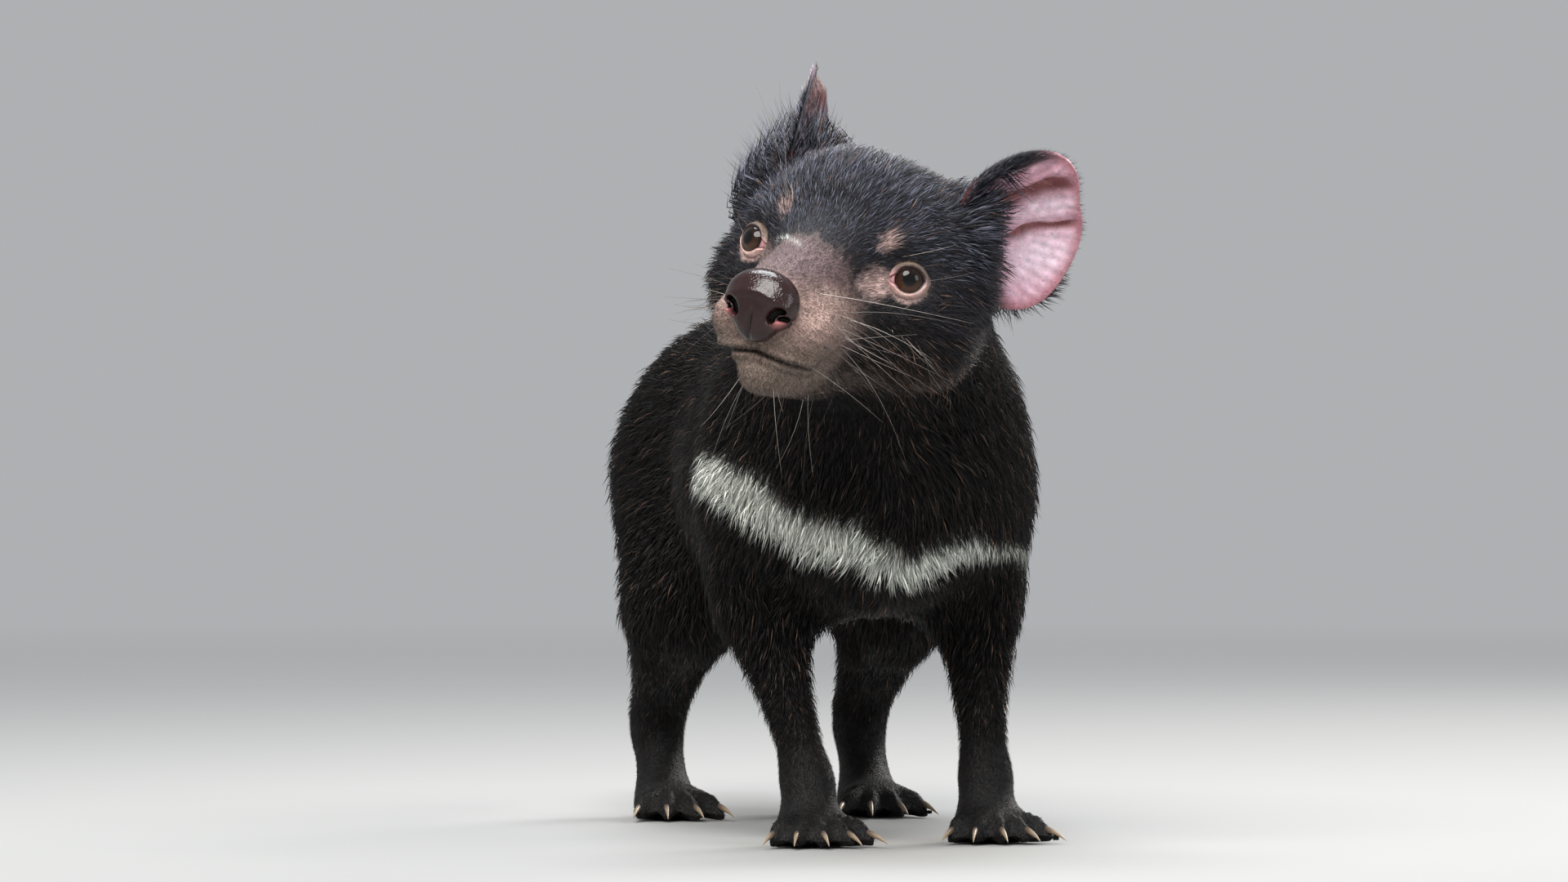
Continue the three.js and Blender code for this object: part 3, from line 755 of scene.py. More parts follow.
# Each side of the head has patches of colour: their colour, centre, radii, ragged edge and strength
SIDE_PATCHES = (
    (MOUTH_RED, (20, -25, -42), (4, 6, 2.4), 0, 0.8),
    (CHIN_BROWN, (21, 12, -43), (10, 14, 7), 0.3, 0.5),
    (CHIN_BROWN, (42, 20, -32), (10, 13, 10), 0.3, 0.12),
    (HEAD_GREY * 0.35, (33, 3, -15), (13, 10, 7), 0.2, 0.8),
    (HEAD_GREY * 0.4, (30, 3, 11), (9, 8, 4), 0.2, 0.6),
)
TAN_PATCH = ((19, -30, -21), (9, 20, 12), 0.2)
EYE_CORNER = ((25.2, -6.3, -4.6), (7.5, 7.5, 6.5), 0.3)
BROW_SPOTS = {LEFT: ((24.5, -6.3, 11.9), 0.9), RIGHT: ((-20.2, -7.5, 16.0), 0.5)}
BROW_RADII = (3.4, 5, 4.4)
INNER_CORNER = {LEFT: 0.95, RIGHT: 0.35}


def coat_colours(places, heads):
    x, y, z = heads.T
    on_head = fall(y + 0.25 * z, 30, 62) * fall(lengths(heads), 78, 96)
    # The head's grey is partly a painted bluish sheen, strongest on the top of the head and fading to the
    # body's black below the jaw
    shade = mix(BODY_BLACK, HEAD_GREY, on_head * (0.25 + 0.75 * rise(z, -34, -8)))
    rough = mottle(heads, 3.0)
    from_nose = lengths((heads - NOSE_CENTRE) * (1, 0.9, 1))
    bare_skin = from_nose + 0.3 * np.maximum(z + 22, 0) + 3.0 * rough
    muzzle = fall(bare_skin, 36, 52) * fall(np.abs(x), 26, 33)
    shade = mix(shade, MUZZLE_PINK, muzzle * 0.9)
    shade = mix(shade, MUZZLE_MAUVE, muzzle * rise(z - 0.12 * y + rough, -14, 2) * 0.85)
    shade = mix(shade, CHIN_BROWN, muzzle * fall(z + rough, -37, -28) * 0.8)
    shade = mix(shade, CHIN_BROWN, fall(z, -44, -39) * fall(y, -14, 14) * on_head * 0.85)
    # Painted shade in the groove between the lips
    mouth_shade = bell(z, mouth_height(x), 1.1) * fall(y, MOUTH_CORNER - 3, MOUTH_CORNER + 5)
    shade = mix(shade, MOUTH_SHADE, mouth_shade * on_head * (np.abs(x) < 32))
    across, up, _ = eye_frame(LEFT)
    for side in (LEFT, RIGHT):
        mirrored = heads * (side, 1, 1)
        shade = mix(shade, MUZZLE_TAN, spot(mirrored, *TAN_PATCH) * muzzle * 0.7)
        for patch, centre, radii, ragged, strength in SIDE_PATCHES:
            shade = mix(shade, patch, spot(mirrored, centre, radii, ragged) * strength)
        shade = mix(shade, PALE_SKIN, spot(mirrored, *EYE_CORNER) * INNER_CORNER[side])
        offset = mirrored - EYE_CENTRE
        height = offset @ up + 0.6
        ring = np.hypot(offset @ across, height) + 0.8 * rough
        near = (lengths(offset) < 20) * (mirrored[:, 1] < 12)
        edge = 6.8 + 1.0 * rise(-height, -3, 4)
        shade = mix(shade, PALE_SKIN, fall(ring, edge, edge + 1.3) * near * 0.7)
        centre, strength = BROW_SPOTS[side]
        brow = spot(heads, centre, BROW_RADII, 0.45) * (x * side > 0)
        shade = mix(shade, PALE_SKIN, brow * strength)
    grain = 0.3 * mottle(heads, 1.1) + 0.35 * mottle(heads, 0.5)
    shade = shade * (1 + muzzle * grain)[:, None]
    # The skin under the nose pad is painted black, so the nostrils show a painted shade in their depth
    under_nose = lengths((heads - NOSE_CENTRE) / NOSE_RADII)
    shade = mix(shade, PUPIL_BLACK, fall(under_nose, 0.88, 0.98))
    px, py, pz = places.T
    level = pz + 1.5 * np.sin(px * 0.9) * np.sin(pz * 0.8 + py * 0.5)
    top = np.interp(px, BAND_X, BAND_TOP)
    foot = np.interp(px, BAND_X, BAND_FOOT)
    band = rise(level, foot - 2, foot + 1.5) * fall(level, top - 2.5, top + 1.5)
    band *= fall(py, 2, 9) * fall(np.abs(px), 67, 72)
    slit = bell(px, -66.5, 1.3) * rise(py, -14, -8)
    return mix(shade, BAND_WHITE, band * (1 - 0.85 * slit))


# The lie of the coat


def ear_frame(side):
    ear = EARS[side]
    grow = unit(np.array(ear["growth"], float))
    face = np.array(ear["facing"], float)
    face = unit(face - grow * (face @ grow))
    return np.cross(face, grow), grow, face


def near_ear(heads, side, reach):
    """1 round the root of an ear, falling to 0 at its reach."""
    stem = np.array(EARS[side]["root"]) + ear_frame(side)[1] * 4
    return fall(lengths(heads - stem), reach * 0.6, reach)


# The way the hairs run on the limbs and the tail
LIMB_FLOW = {
    "foreleg": (0, 0.12, -1),
    "thigh": (0, 0.35, -0.95),
    "shank": (0, 0.65, -0.75),
    "forepaw": (0, -1, -0.45),
    "hindpaw": (0, -1, -0.45),
    "tail": (0.03, 1, -0.36),
}


def lie_of_coat(places, heads, label):
    """The way the hairs run at each point, before they are laid along the skin."""
    away = unit(heads - (NOSE_CENTRE + (0, 3, 2)))
    cheek = rise(np.abs(heads[:, 0]), 22, 42) * rise(heads[:, 1], -10, 20)
    away = away + cheek[:, None] * (0, 0.3, -0.55)
    for side in (LEFT, RIGHT):
        away = mix(away, ear_frame(side)[1], near_ear(heads, side, 34) * EARS[side]["upright"])
    away = away @ HEAD_TURN.T
    drop = rise(np.abs(places[:, 0]), 8, 50)
    flow = (0, 1, -0.25) - drop[:, None] * (0, 0, 0.75)
    down = np.sign(places[:, 0])[:, None] * (0.35, 0, 0) + (0, 0.1, -1)
    flow = mix(flow, down, fall(places[:, 1], -38, 20) * fall(places[:, 2], 175, 215))
    for index, name in enumerate(FLESH_NODES):
        here = label == index
        limb = name.split("_")[0]
        if name in HEAD_NODES:
            flow[here] = away[here]
        elif name == "neck":
            flow[here] = mix(away[here], flow[here], 0.6)
        elif limb in LIMB_FLOW:
            flow[here] = LIMB_FLOW[limb]
    return unit(flow) + random.normal(0, 0.9, flow.shape)


def label_by_node(points):
    corners, faces, owner = [], [], []
    for index, name in enumerate(FLESH_NODES):
        mesh = NODES[name].data
        base = len(corners)
        corners.extend(v.co[:] for v in mesh.vertices)
        for face in mesh.polygons:
            faces.append([base + corner for corner in face.vertices])
            owner.append(index)
    tree = BVHTree.FromPolygons(corners, faces)
    return np.array([owner[tree.find_nearest(Vector(point))[2]] for point in to_frame(points)])


# The coat: tapered tufts in arrays


def coat_length(places, heads):
    from_nose = lengths(heads - NOSE_CENTRE)
    cheek = rise(np.abs(heads[:, 0]), 30, 46) * fall(heads[:, 2], -8, 10)
    crown = rise(heads[:, 2], 20, 42)
    on_head = 2.0 + 4.3 * rise(from_nose, 24, 78) + 5.5 * cheek * rise(from_nose, 55, 90) + 2.0 * crown
    for side in (LEFT, RIGHT):
        on_head *= 0.42 + 0.58 * rise(lengths(heads - eye_centre(side)), 8, 18)
    for side in (LEFT, RIGHT):
        longer, reach = EARS[side]["brush"]
        on_head += longer * near_ear(heads, side, reach)
    length = blend(BODY_HAIR, on_head, head_share(heads, FADE_LENGTH))
    tail = rise(places[:, 1], 250, 290)
    low = fall(places[:, 2], 30, 100) * (1 - tail)
    on_leg = 1.9 + 4.6 * rise(places[:, 2], 16, 75)
    return blend(length, on_leg, low) * (1 - 0.1 * tail)


def coat_density(length, places, heads):
    """Tufts on each square millimetre, more of them where they are short, and fewer on the feet."""
    density = FULLNESS * np.clip(BODY_HAIR / np.maximum(length, 0.5), 1, 12) ** 0.85
    density *= 1 + 0.3 * fall(lengths(heads), 70, 90)
    return density * (0.55 + 0.45 * rise(places[:, 2], 14, 40))


class Skin:
    """The skin's triangles, with the lie of the coat at its corners."""

    def __init__(self, mesh):
        self.points = points_of(mesh)
        self.normals = normals_of(mesh)
        self.heads = into_head(self.points)
        self.label = label_by_node(self.points)
        flow = lie_of_coat(self.points, self.heads, self.label)
        flow = relax(flow, edges_of(mesh), np.full(len(flow), 0.5), 14)
        flow = flow - self.normals * (flow * self.normals).sum(1, keepdims=True)
        self.flow = unit(flow)
        self.length = coat_length(self.points, self.heads)
        self.triangles = triangles_of(mesh)


def bare(heads, places):
    """True where no hair grows: nose, eye openings, lips and soles."""
    none = lengths((heads - NOSE_CENTRE) / (NOSE_RADII + 0.6)) < 1
    for side in (LEFT, RIGHT):
        across, up, out = eye_frame(side)
        offset = heads - eye_centre(side)
        height = offset @ up + 0.7
        ring = np.hypot(offset @ across, height)
        edge = 6.9 + 1.0 * rise(-height, -2, 4)
        none |= (ring < edge) & (offset @ out > 0) & (lengths(offset) < 16)
    lips = (np.abs(heads[:, 2] - mouth_height(heads[:, 0])) < 1.2) & (heads[:, 1] < MOUTH_CORNER)
    none |= lips & (lengths(heads) < 70)
    return none | (places[:, 2] < LOWEST_HAIR)


def sow(skin):
    """Roots spread evenly over the skin, each with its normal, lie, length and owner."""
    a, b, c = (skin.points[skin.triangles[:, corner]] for corner in range(3))
    area = lengths(np.cross(b - a, c - a)) / 2
    length = skin.length[skin.triangles].mean(1)
    middle = (a + b + c) / 3
    wanted = area * coat_density(length, middle, into_head(middle))
    count = np.floor(wanted + random.random(len(wanted))).astype(int)
    chosen = np.repeat(np.arange(len(count)), count)
    r, s = random.random((2, len(chosen)))
    flip = r + s > 1
    r[flip], s[flip] = 1 - r[flip], 1 - s[flip]
    shares = np.stack([1 - r - s, r, s], 1)[:, :, None]
    corners = skin.triangles[chosen]
    roots = {
        "place": (skin.points[corners] * shares).sum(1),
        "normal": unit((skin.normals[corners] * shares).sum(1)),
        "flow": unit((skin.flow[corners] * shares).sum(1)),
        "length": (skin.length[corners] * shares[:, :, 0]).sum(1),
        "label": skin.label[corners[:, 0]],
    }
    heads = into_head(roots["place"])
    from_nose = lengths(heads - NOSE_CENTRE)
    roots["width"] = 0.66 + 0.34 * rise(lengths(heads), 60, 90) + 0.45 * fall(from_nose, 26, 48)
    keep = ~bare(heads, roots["place"])
    return {key: values[keep] for key, values in roots.items()}


RING = np.array([[-0.5, 0.0], [0.5, 0.0], [0.0, 0.55]])
RING_SIZE = len(RING)
FULLNESS = 0.86
BENT_SHARE = 0.4
BENT_FROM = 4.2
ROOT_DEPTH = 0.25
THINNEST_TUFT = 0.11
WIDER_BY_LENGTH = 0.036
PATCH = 0.003
MOST_TUFTS = 18500

# The pale arc of hairs over the nose: its middle, height and curve in the head frame
ARC_MIDDLE = -8.5
ARC_HEIGHT = 3.4
ARC_CURVE = 0.022


def tuft_colours(place, roots):
    """The colour at each tuft's root and tip, with painted shade at the roots and a painted sheen on the
    head's top.
    """
    heads = into_head(place)
    count = len(place)
    base = (roots["colour"] if "colour" in roots else coat_colours(place, heads)).copy()
    on_head = head_share(heads, FADE_TINT)
    dark = base.sum(1) < 0.12
    draw = random.random(count)
    # More tips are frosted towards the top of the head, in the head's sheen colour: a painted sheen,
    # lighter where light falls from above
    top = on_head * rise(heads[:, 2], -12, 14)
    cheek = on_head * fall(heads[:, 2], -34, -12) * rise(np.abs(heads[:, 0]), 14, 34)
    # The lower cheeks are painted darker and get fewer frosted tips: painted shade under the jaw
    base *= (1 - 0.35 * cheek * dark)[:, None]
    # Tips start lighter than the base, and the roots are darkened at the end: a painted shade deep in the
    # coat
    tip = base * 1.3
    frosted = dark & (draw < 0.12 + 0.34 * top - 0.08 * cheek)
    glint = random.uniform(0.3, 1.6, count)[:, None]
    tip[frosted] = (mix(BODY_TIP, HEAD_SHEEN_TIP, top) * glint)[frosted]
    brown = dark & (draw > 1 - 0.04 - 0.26 * cheek)
    tip[brown] = (BROWN_TIP * 1.4 * glint)[brown]
    bright = (frosted | brown) & (random.random(count) < 0.35)
    base[bright] = mix(base, tip, 0.75 * on_head)[bright]
    thin = ~dark & (on_head > 0.3) & ~bright
    shadow = thin & (draw < 0.42)
    base[shadow] *= 0.25
    tip[shadow] *= 0.3
    pale = thin & (draw > 0.8)
    tip[pale] = (PALE_TIP * np.minimum(glint, 1.1))[pale]
    from_middle = heads[:, 0] - ARC_MIDDLE
    arc = bell(heads[:, 2], ARC_HEIGHT - ARC_CURVE * from_middle**2, 0.9) * fall(np.abs(from_middle), 6, 10)
    arc *= (heads[:, 1] < -12) & (random.random(count) < 0.95)
    base, tip = mix(base, BAND_WHITE, arc), mix(tip, BAND_WHITE, arc)
    clump = 1 + 0.3 * mottle(place, 2.4) * (base.sum(1) < 1.5)
    shade = (random.uniform(0.6, 1.45, count) * clump)[:, None]
    # Roots darkened to 0.6: painted shade deep in the coat between the hairs
    return base * shade * 0.6, tip * shade


def tufts(roots, patches, name):
    """Closed tapered tufts that lie along the skin: most of them straight, the longer ones bent once."""
    place, normal, flow, length = (roots[key] for key in ("place", "normal", "flow", "length"))
    count = len(place)
    swing = random.normal(0, 0.16, count) + 0.22 * mottle(place, 5.0)
    side = np.cross(normal, flow)
    flow = unit(flow * np.cos(swing)[:, None] + side * np.sin(swing)[:, None])
    side = np.cross(normal, flow)
    lift = np.radians(roots["lift"] + random.normal(0, 6, count))
    bent = (length > BENT_FROM) & (random.random(count) < BENT_SHARE)
    rising = np.where(bent, lift * 1.6, lift)
    settling = np.where(bent, lift * 0.4, lift)
    length = length * random.uniform(0.7, 1.15, count)
    width = THINNEST_TUFT + WIDER_BY_LENGTH * length
    width = width * random.uniform(0.75, 1.25, count) * roots["width"]
    start = flow * np.cos(rising)[:, None] + normal * np.sin(rising)[:, None]
    end = flow * np.cos(settling)[:, None] + normal * np.sin(settling)[:, None]
    root = place - normal * ROOT_DEPTH
    knee = root + start * (length * 0.5)[:, None]
    tip = knee + end * (length * 0.5)[:, None]
    root_colour, tip_colour = tuft_colours(place, roots)

    vertices, faces, tints, spots = [], [], [], []
    base = 0
    for is_bent in (False, True):
        pick = np.where(bent == is_bent)[0]
        if len(pick) == 0:
            continue
        rings = [(root, 0.9, 0.0), (knee, 1.0, 0.5)] if is_bent else [(root, 1.0, 0.0)]
        corners, hues = [], []
        for middle, scale, along in rings:
            for across, out in RING:
                offset = side[pick] * across + normal[pick] * out
                corners.append(middle[pick] + offset * (width[pick] * scale)[:, None])
                hues.append(blend(root_colour[pick], tip_colour[pick], along))
        corners.append(tip[pick])
        hues.append(tip_colour[pick])
        size = len(corners)
        last = size - 1 - RING_SIZE
        point = [(last + k, last + (k + 1) % RING_SIZE, size - 1) for k in range(RING_SIZE)]
        shape = [(0, 2, 1)] + tube(RING_SIZE, len(rings)) + point
        faces.append(base + copies(shape, len(pick), size))
        vertices.append(np.stack(corners, 1).reshape(-1, 3))
        tints.append(np.stack(hues, 1).reshape(-1, 3))
        corner_patch = np.array([[0, 0], [1, 0], [0.5, 0.5]] * len(rings) + [[0.5, 1]])
        spots.append((patches[pick][:, None, :] + (corner_patch - 0.5)[None] * PATCH).reshape(-1, 2))
        base += len(pick) * size
    mesh = mesh_of_arrays(name, np.concatenate(vertices), np.concatenate(faces))
    paint(mesh, np.concatenate(tints))
    layer = mesh.uv_layers.new(name="OFBake")
    spots, order = np.concatenate(spots), np.concatenate(faces).ravel()
    layer.data.foreach_set("uv", spots[order].astype(np.float32).ravel())
    return mesh


def unwrapped(names):
    """A coarse copy of the skin's shape, laid flat, to give every tuft its patch of the coat's map."""
    mesh = remeshed(names, UNWRAP_CELL)
    holder = add_object("unwrap", mesh)
    bpy.context.view_layer.objects.active = holder
    holder.select_set(True)
    bpy.ops.object.mode_set(mode="EDIT")
    bpy.ops.mesh.select_all(action="SELECT")
    bpy.ops.uv.smart_project(angle_limit=math.radians(66), island_margin=0.004)
    bpy.ops.object.mode_set(mode="OBJECT")
    points = to_frame(points_of(mesh))
    triangles = triangles_of(mesh)
    places = values_of(mesh.uv_layers.active.data, "uv", 2)[triangles_of(mesh, "loops")]
    tree = BVHTree.FromPolygons(points.tolist(), triangles.tolist())
    bpy.data.objects.remove(holder)
    return tree, points[triangles], places


def patch_places(points, unwrap):
    tree, triangles, places = unwrap
    found = [tree.find_nearest(Vector(point)) for point in to_frame(points)]
    nearest = np.array([hit[0][:] for hit in found])
    index = np.array([hit[2] for hit in found])
    a, b, c = (triangles[index][:, corner] for corner in range(3))
    e, f, g = b - a, c - a, nearest - a
    ee, ef, ff = (e * e).sum(1), (e * f).sum(1), (f * f).sum(1)
    ge, gf = (g * e).sum(1), (g * f).sum(1)
    scale = np.maximum(ee * ff - ef * ef, 1e-18)
    s = (ff * ge - ef * gf) / scale
    t = (ee * gf - ef * ge) / scale
    shares = np.clip(np.stack([1 - s - t, s, t], 1), 0, 1)
    return (places[index] * shares[:, :, None]).sum(1)


def grow_coat(skin):
    roots = sow(skin)
    heads = into_head(roots["place"])
    roots["lift"] = 14 + 5 * rise(lengths(heads), 60, 80)
    for side in (LEFT, RIGHT):
        steeper, reach = EARS[side]["lift"]
        roots["lift"] += steeper * near_ear(heads, side, reach)
    patches = patch_places(roots["place"], unwrapped(FLESH_NODES))
    white = coat_colours(roots["place"], heads).min(1) > 0.4
    white &= ~np.isin(roots["label"], [FLESH_NODES.index(name) for name in HEAD_NODES])
    groups = {"band": np.where(white)[0]}
    for index, name in enumerate(FLESH_NODES):
        owner = "face" if name in ("muzzle", "lower_jaw") else name
        mine = np.where((roots["label"] == index) & ~white)[0]
        groups[owner] = np.concatenate([groups.get(owner, mine[:0]), mine])
    for owner, chosen in groups.items():
        parts = math.ceil(len(chosen) / MOST_TUFTS)
        chosen = chosen[np.argsort(roots["place"][chosen, 2])]
        for number, part in enumerate(np.array_split(chosen, parts)):
            name = f"coat_{owner}" if parts == 1 else f"coat_{owner}_{number + 1}"
            mesh = tufts({key: values[part] for key, values in roots.items()}, patches[part], name)
            piece(name, mesh, COAT)


# Eyes

IRIS_ANGLE = 40.0
PUPIL_ANGLE = 17.0
CORNEA_BULGE = 0.8
OPENING_WIDTH = 5.8
OPENING_TOP = 5.0
OPENING_FOOT = 5.3
INNER_ANGLE = math.pi + 0.2
OUTER_ANGLE = 0.1


def make_eye(side):
    """An eyeball with the bulge of the cornea, its colours painted in rings round its axis."""
    bm = bmesh.new()
    bmesh.ops.create_uvsphere(bm, u_segments=72, v_segments=110, radius=1)
    basis = Matrix(eye_frame(side)).transposed()
    colours = []
    for vertex in bm.verts:
        direction = vertex.co.normalized()
        angle = math.degrees(math.acos(max(-1, min(1, direction.z))))
        around = math.atan2(direction.y, direction.x)
        fibre = 0.14 * math.sin(around * 23) + 0.10 * math.sin(around * 41 + 1.3)
        # The brown below is the iris's own colour; the dark upper part is a painted shade cast by the upper
        # lid
        low = 0.5 - 0.5 * direction.y / max(1e-6, math.sin(math.radians(angle)))
        brown = mix(IRIS_DARK, IRIS_BROWN, min(1, max(0, max(low, 0) ** 1.5 + fibre)))
        shade = mix(PUPIL_BLACK, brown, rise(angle, PUPIL_ANGLE - 5, PUPIL_ANGLE + 6))
        shade = mix(shade, IRIS_DARK * 0.6, rise(angle, IRIS_ANGLE - 9, IRIS_ANGLE - 2))
        white = mix(LID_EDGE * 0.7, CORNER_PINK, near_angle(around, math.pi + 0.1, 0.5))
        colours.append(mix(shade, white, rise(angle, IRIS_ANGLE, IRIS_ANGLE + 3)))
        radius = EYE_RADIUS - 0.5 + CORNEA_BULGE * fall(angle, 12, IRIS_ANGLE + 6)
        vertex.co = from_head(eye_centre(side) + np.array(basis @ direction) * radius)
    face_outwards(bm)
    name = SIDE_NAMES[side]
    piece_from(bm, f"eyeball_{name}", colours, EYE, [f"eye_{name}"])


# Lids: loops round the opening, from its moist edge over the roll and the crease to below the coat

LID_LOOPS = 96
LID_WALL = 0.5
LID_PROFILE = (
    (-0.9, -0.8, LID_EDGE, LID_EDGE),
    (-0.1, 0.0, LID_EDGE, LID_EDGE),
    (0.15, 0.42, LID_EDGE, LID_PINK * 0.7),
    (0.45, 0.70, LID_EDGE, LID_PINK * 1.15),
    (0.9, 0.74, LID_TAN * 0.6, LID_PINK * 1.05),
    (1.4, 0.60, LID_TAN, LID_PINK * 0.8),
    (1.8, 0.34, LID_TAN * 0.7, LID_PINK * 0.65),
    (2.2, 0.12, HEAD_GREY * 0.6, LID_PINK * 0.6),
    (2.8, 0.15, HEAD_GREY, LID_PINK * 0.5),
    (3.6, -0.1, HEAD_GREY, HEAD_GREY),
    (4.8, -1.3, HEAD_GREY, HEAD_GREY),
)


def opening(angle):
    """Half the width of the eye's opening at an angle from its outer corner, counted over the top."""
    height = OPENING_TOP if math.sin(angle) > 0 else OPENING_FOOT
    reach = 1 / math.hypot(math.sin(angle) / height, math.cos(angle) / OPENING_WIDTH)
    return reach + 2.2 * near_angle(angle, INNER_ANGLE, 0.24) + 0.6 * near_angle(angle, OUTER_ANGLE, 0.3)


def make_lids(side):
    across, up, out = eye_frame(side)
    bm = bmesh.new()
    rings = []
    colours = []
    for offset, height, upper, lower_shade in LID_PROFILE:
        ring = []
        for step in range(LID_LOOPS):
            angle = 2 * math.pi * step / LID_LOOPS
            lower = max(0, -math.sin(angle))
            radius = opening(angle) + offset * (1 + 0.15 * lower)
            level = math.sqrt(max(EYE_RADIUS**2 - min(radius, EYE_RADIUS - 0.6) ** 2, 1))
            level -= max(0, radius - EYE_RADIUS + 0.6) * 0.5
            wrinkle = 0.2 * math.sin(5 * angle + offset * 3) + 0.12 * math.sin(13 * angle - offset * 2)
            level += height + wrinkle * (offset > 0.6)
            point = across * (radius * math.cos(angle)) + up * (radius * math.sin(angle)) + out * level
            ring.append(bm.verts.new(from_head(eye_centre(side) + point)))
            shade = mix(upper, lower_shade, rise(-math.sin(angle), -0.5, 0.3))
            at_corner = CORNER_PINK if offset < 1 else PALE_SKIN
            patch = near_angle(angle, INNER_ANGLE, 0.55) * (0.9 if offset > 0 else 0.4) * INNER_CORNER[side]
            speck = 1 + 0.22 * math.sin(31 * angle + 5 * offset) * math.sin(13 * angle - 4 * offset)
            colours.append(mix(shade, at_corner, patch) * speck)
        rings.append(ring)
    close_rings(bm, rings)
    face_towards(bm, out)
    made = piece_from(bm, f"eyelids_{SIDE_NAMES[side]}", colours, LID)
    give_wall(made, LID_WALL)
    fine = made.modifiers.new("fine", "SUBSURF")
    fine.levels = fine.render_levels = 1


# Nose pad: each wing is a round lobe beside the middle, with the nostril over it

WING_CENTRE = (11.8, -6.4)
WING_REACH = 4.4
HOLE_DEPTH = 5.0
WING_HEIGHT = 1.3


def make_nose(skin_tree):
    """The bare pad: a domed top, a front that runs down to the lip, and a nostril round each wing."""
    bm = bmesh.new()
    bmesh.ops.create_uvsphere(bm, u_segments=160, v_segments=110, radius=1)
    bmesh.ops.rotate(bm, verts=bm.verts[:], matrix=Matrix.Rotation(math.radians(90), 3, "X"))
    inwards = Vector(HEAD_TURN @ (0, 1, 0))
    colours = []
    for vertex in bm.verts:
        x, y, z = vertex.co
        front = rise(-y, 0.0, 0.45)
        wide = NOSE_RADII[0] * (1.02 + 0.05 * z - 0.16 * max(0, -z - 0.35))
        high = NOSE_RADII[2] * (1 + 0.26 * rise(-z, 0.1, 1) * fall(abs(x), 0.3, 0.9))
        flat = -((-y) ** 0.72) if y < 0 else y
        place = np.array([x * wide, flat * NOSE_RADII[1], z * high])
        u, w = abs(place[0]), place[2]
        du, dw = u - WING_CENTRE[0], w - WING_CENTRE[1]
        ring = math.hypot(du, dw)
        around = math.degrees(math.atan2(dw, -du))
        open_here = rise(around, -30, 15) * fall(around, 75, 115)
        slit = bell(ring, WING_REACH, 0.75 + 0.5 * open_here) * open_here
        fold = bell(ring, WING_REACH, 0.8) * (1 - open_here) * rise(10.5 - u, -4, 0)
        hole = fall(ring, 0.5 * WING_REACH, 0.9 * WING_REACH) * rise(dw, 0.2, 1.6)
        wing = bell(ring, 0, 0.85 * WING_REACH, 4) * (1 - hole)
        groove = bell(u, 0, 0.8) * rise(-w, 2, 7)
        ridge = bell(w, 3.2 - 0.03 * u * u, 2.4) * 0.8
        inward = HOLE_DEPTH * max(slit, 0.9 * hole) + 0.5 * fold + 0.9 * groove - WING_HEIGHT * wing - ridge
        place[1] += inward * front
        place[0] += (1 if x > 0 else -1) * 1.2 * wing
        if w < -7 and y < 0 and slit < 0.2:
            start = Vector(to_frame(from_head(NOSE_CENTRE + (place[0], -40, w))))
            found = skin_tree.ray_cast(start, inwards)
            if found[0] is not None:
                lip = into_head(to_stance(np.array(found[0])))[1] - NOSE_CENTRE[1]
                place[1] = min(place[1], lip - 0.9 * fall(-w, 13.2, 15.6))
        pink = bell(u, 10.4, 2.2) * bell(w, WING_CENTRE[1], 3.0)
        shade = mix(NOSE_RED, NOSTRIL_PINK, 0.9 * pink * front)
        # The nostril's slit and hole are painted black, and the groove and fold darker: painted shade in
        # the recesses
        shade = mix(shade, PUPIL_BLACK, min(1.0, 1.6 * max(slit, hole)) * front)
        colours.append(shade * (1 - 0.5 * groove) * (1 - 0.3 * fold))
        vertex.co = from_head(NOSE_CENTRE + place)
    face_outwards(bm)
    piece_from(bm, "nose", colours, NOSE, ["nose_pad"])


# Ears: a thin cup with grooves that run from its root to its rim

EAR_CELLS = 90
EAR_HAIRS = 9500

# Where long dark hairs grow inside each ear: ahead of the middle, up from the root, and how far round
EAR_TUFTS = {
    LEFT: ((-3, 3, 4), (-11, 4, 4.5), (-18, 7, 4), (8, 3, 5), (17, 8, 6), (20, 20, 5)),
    RIGHT: ((0, 8, 15), (16, 12, 14), (-16, 12, 12)),
}


def ear_reach(side, wide, high):
    """How far the rim lies from the middle of the ear, in the direction of a point of the cup."""
    angle = np.degrees(np.arctan2(high, side * wide))
    reach = EAR_REACH
    for swell, middle, width in EAR_SWELLS:
        apart = (angle - middle + 180) % 360 - 180
        reach = reach + swell * bell(apart, 0, width)
    return reach


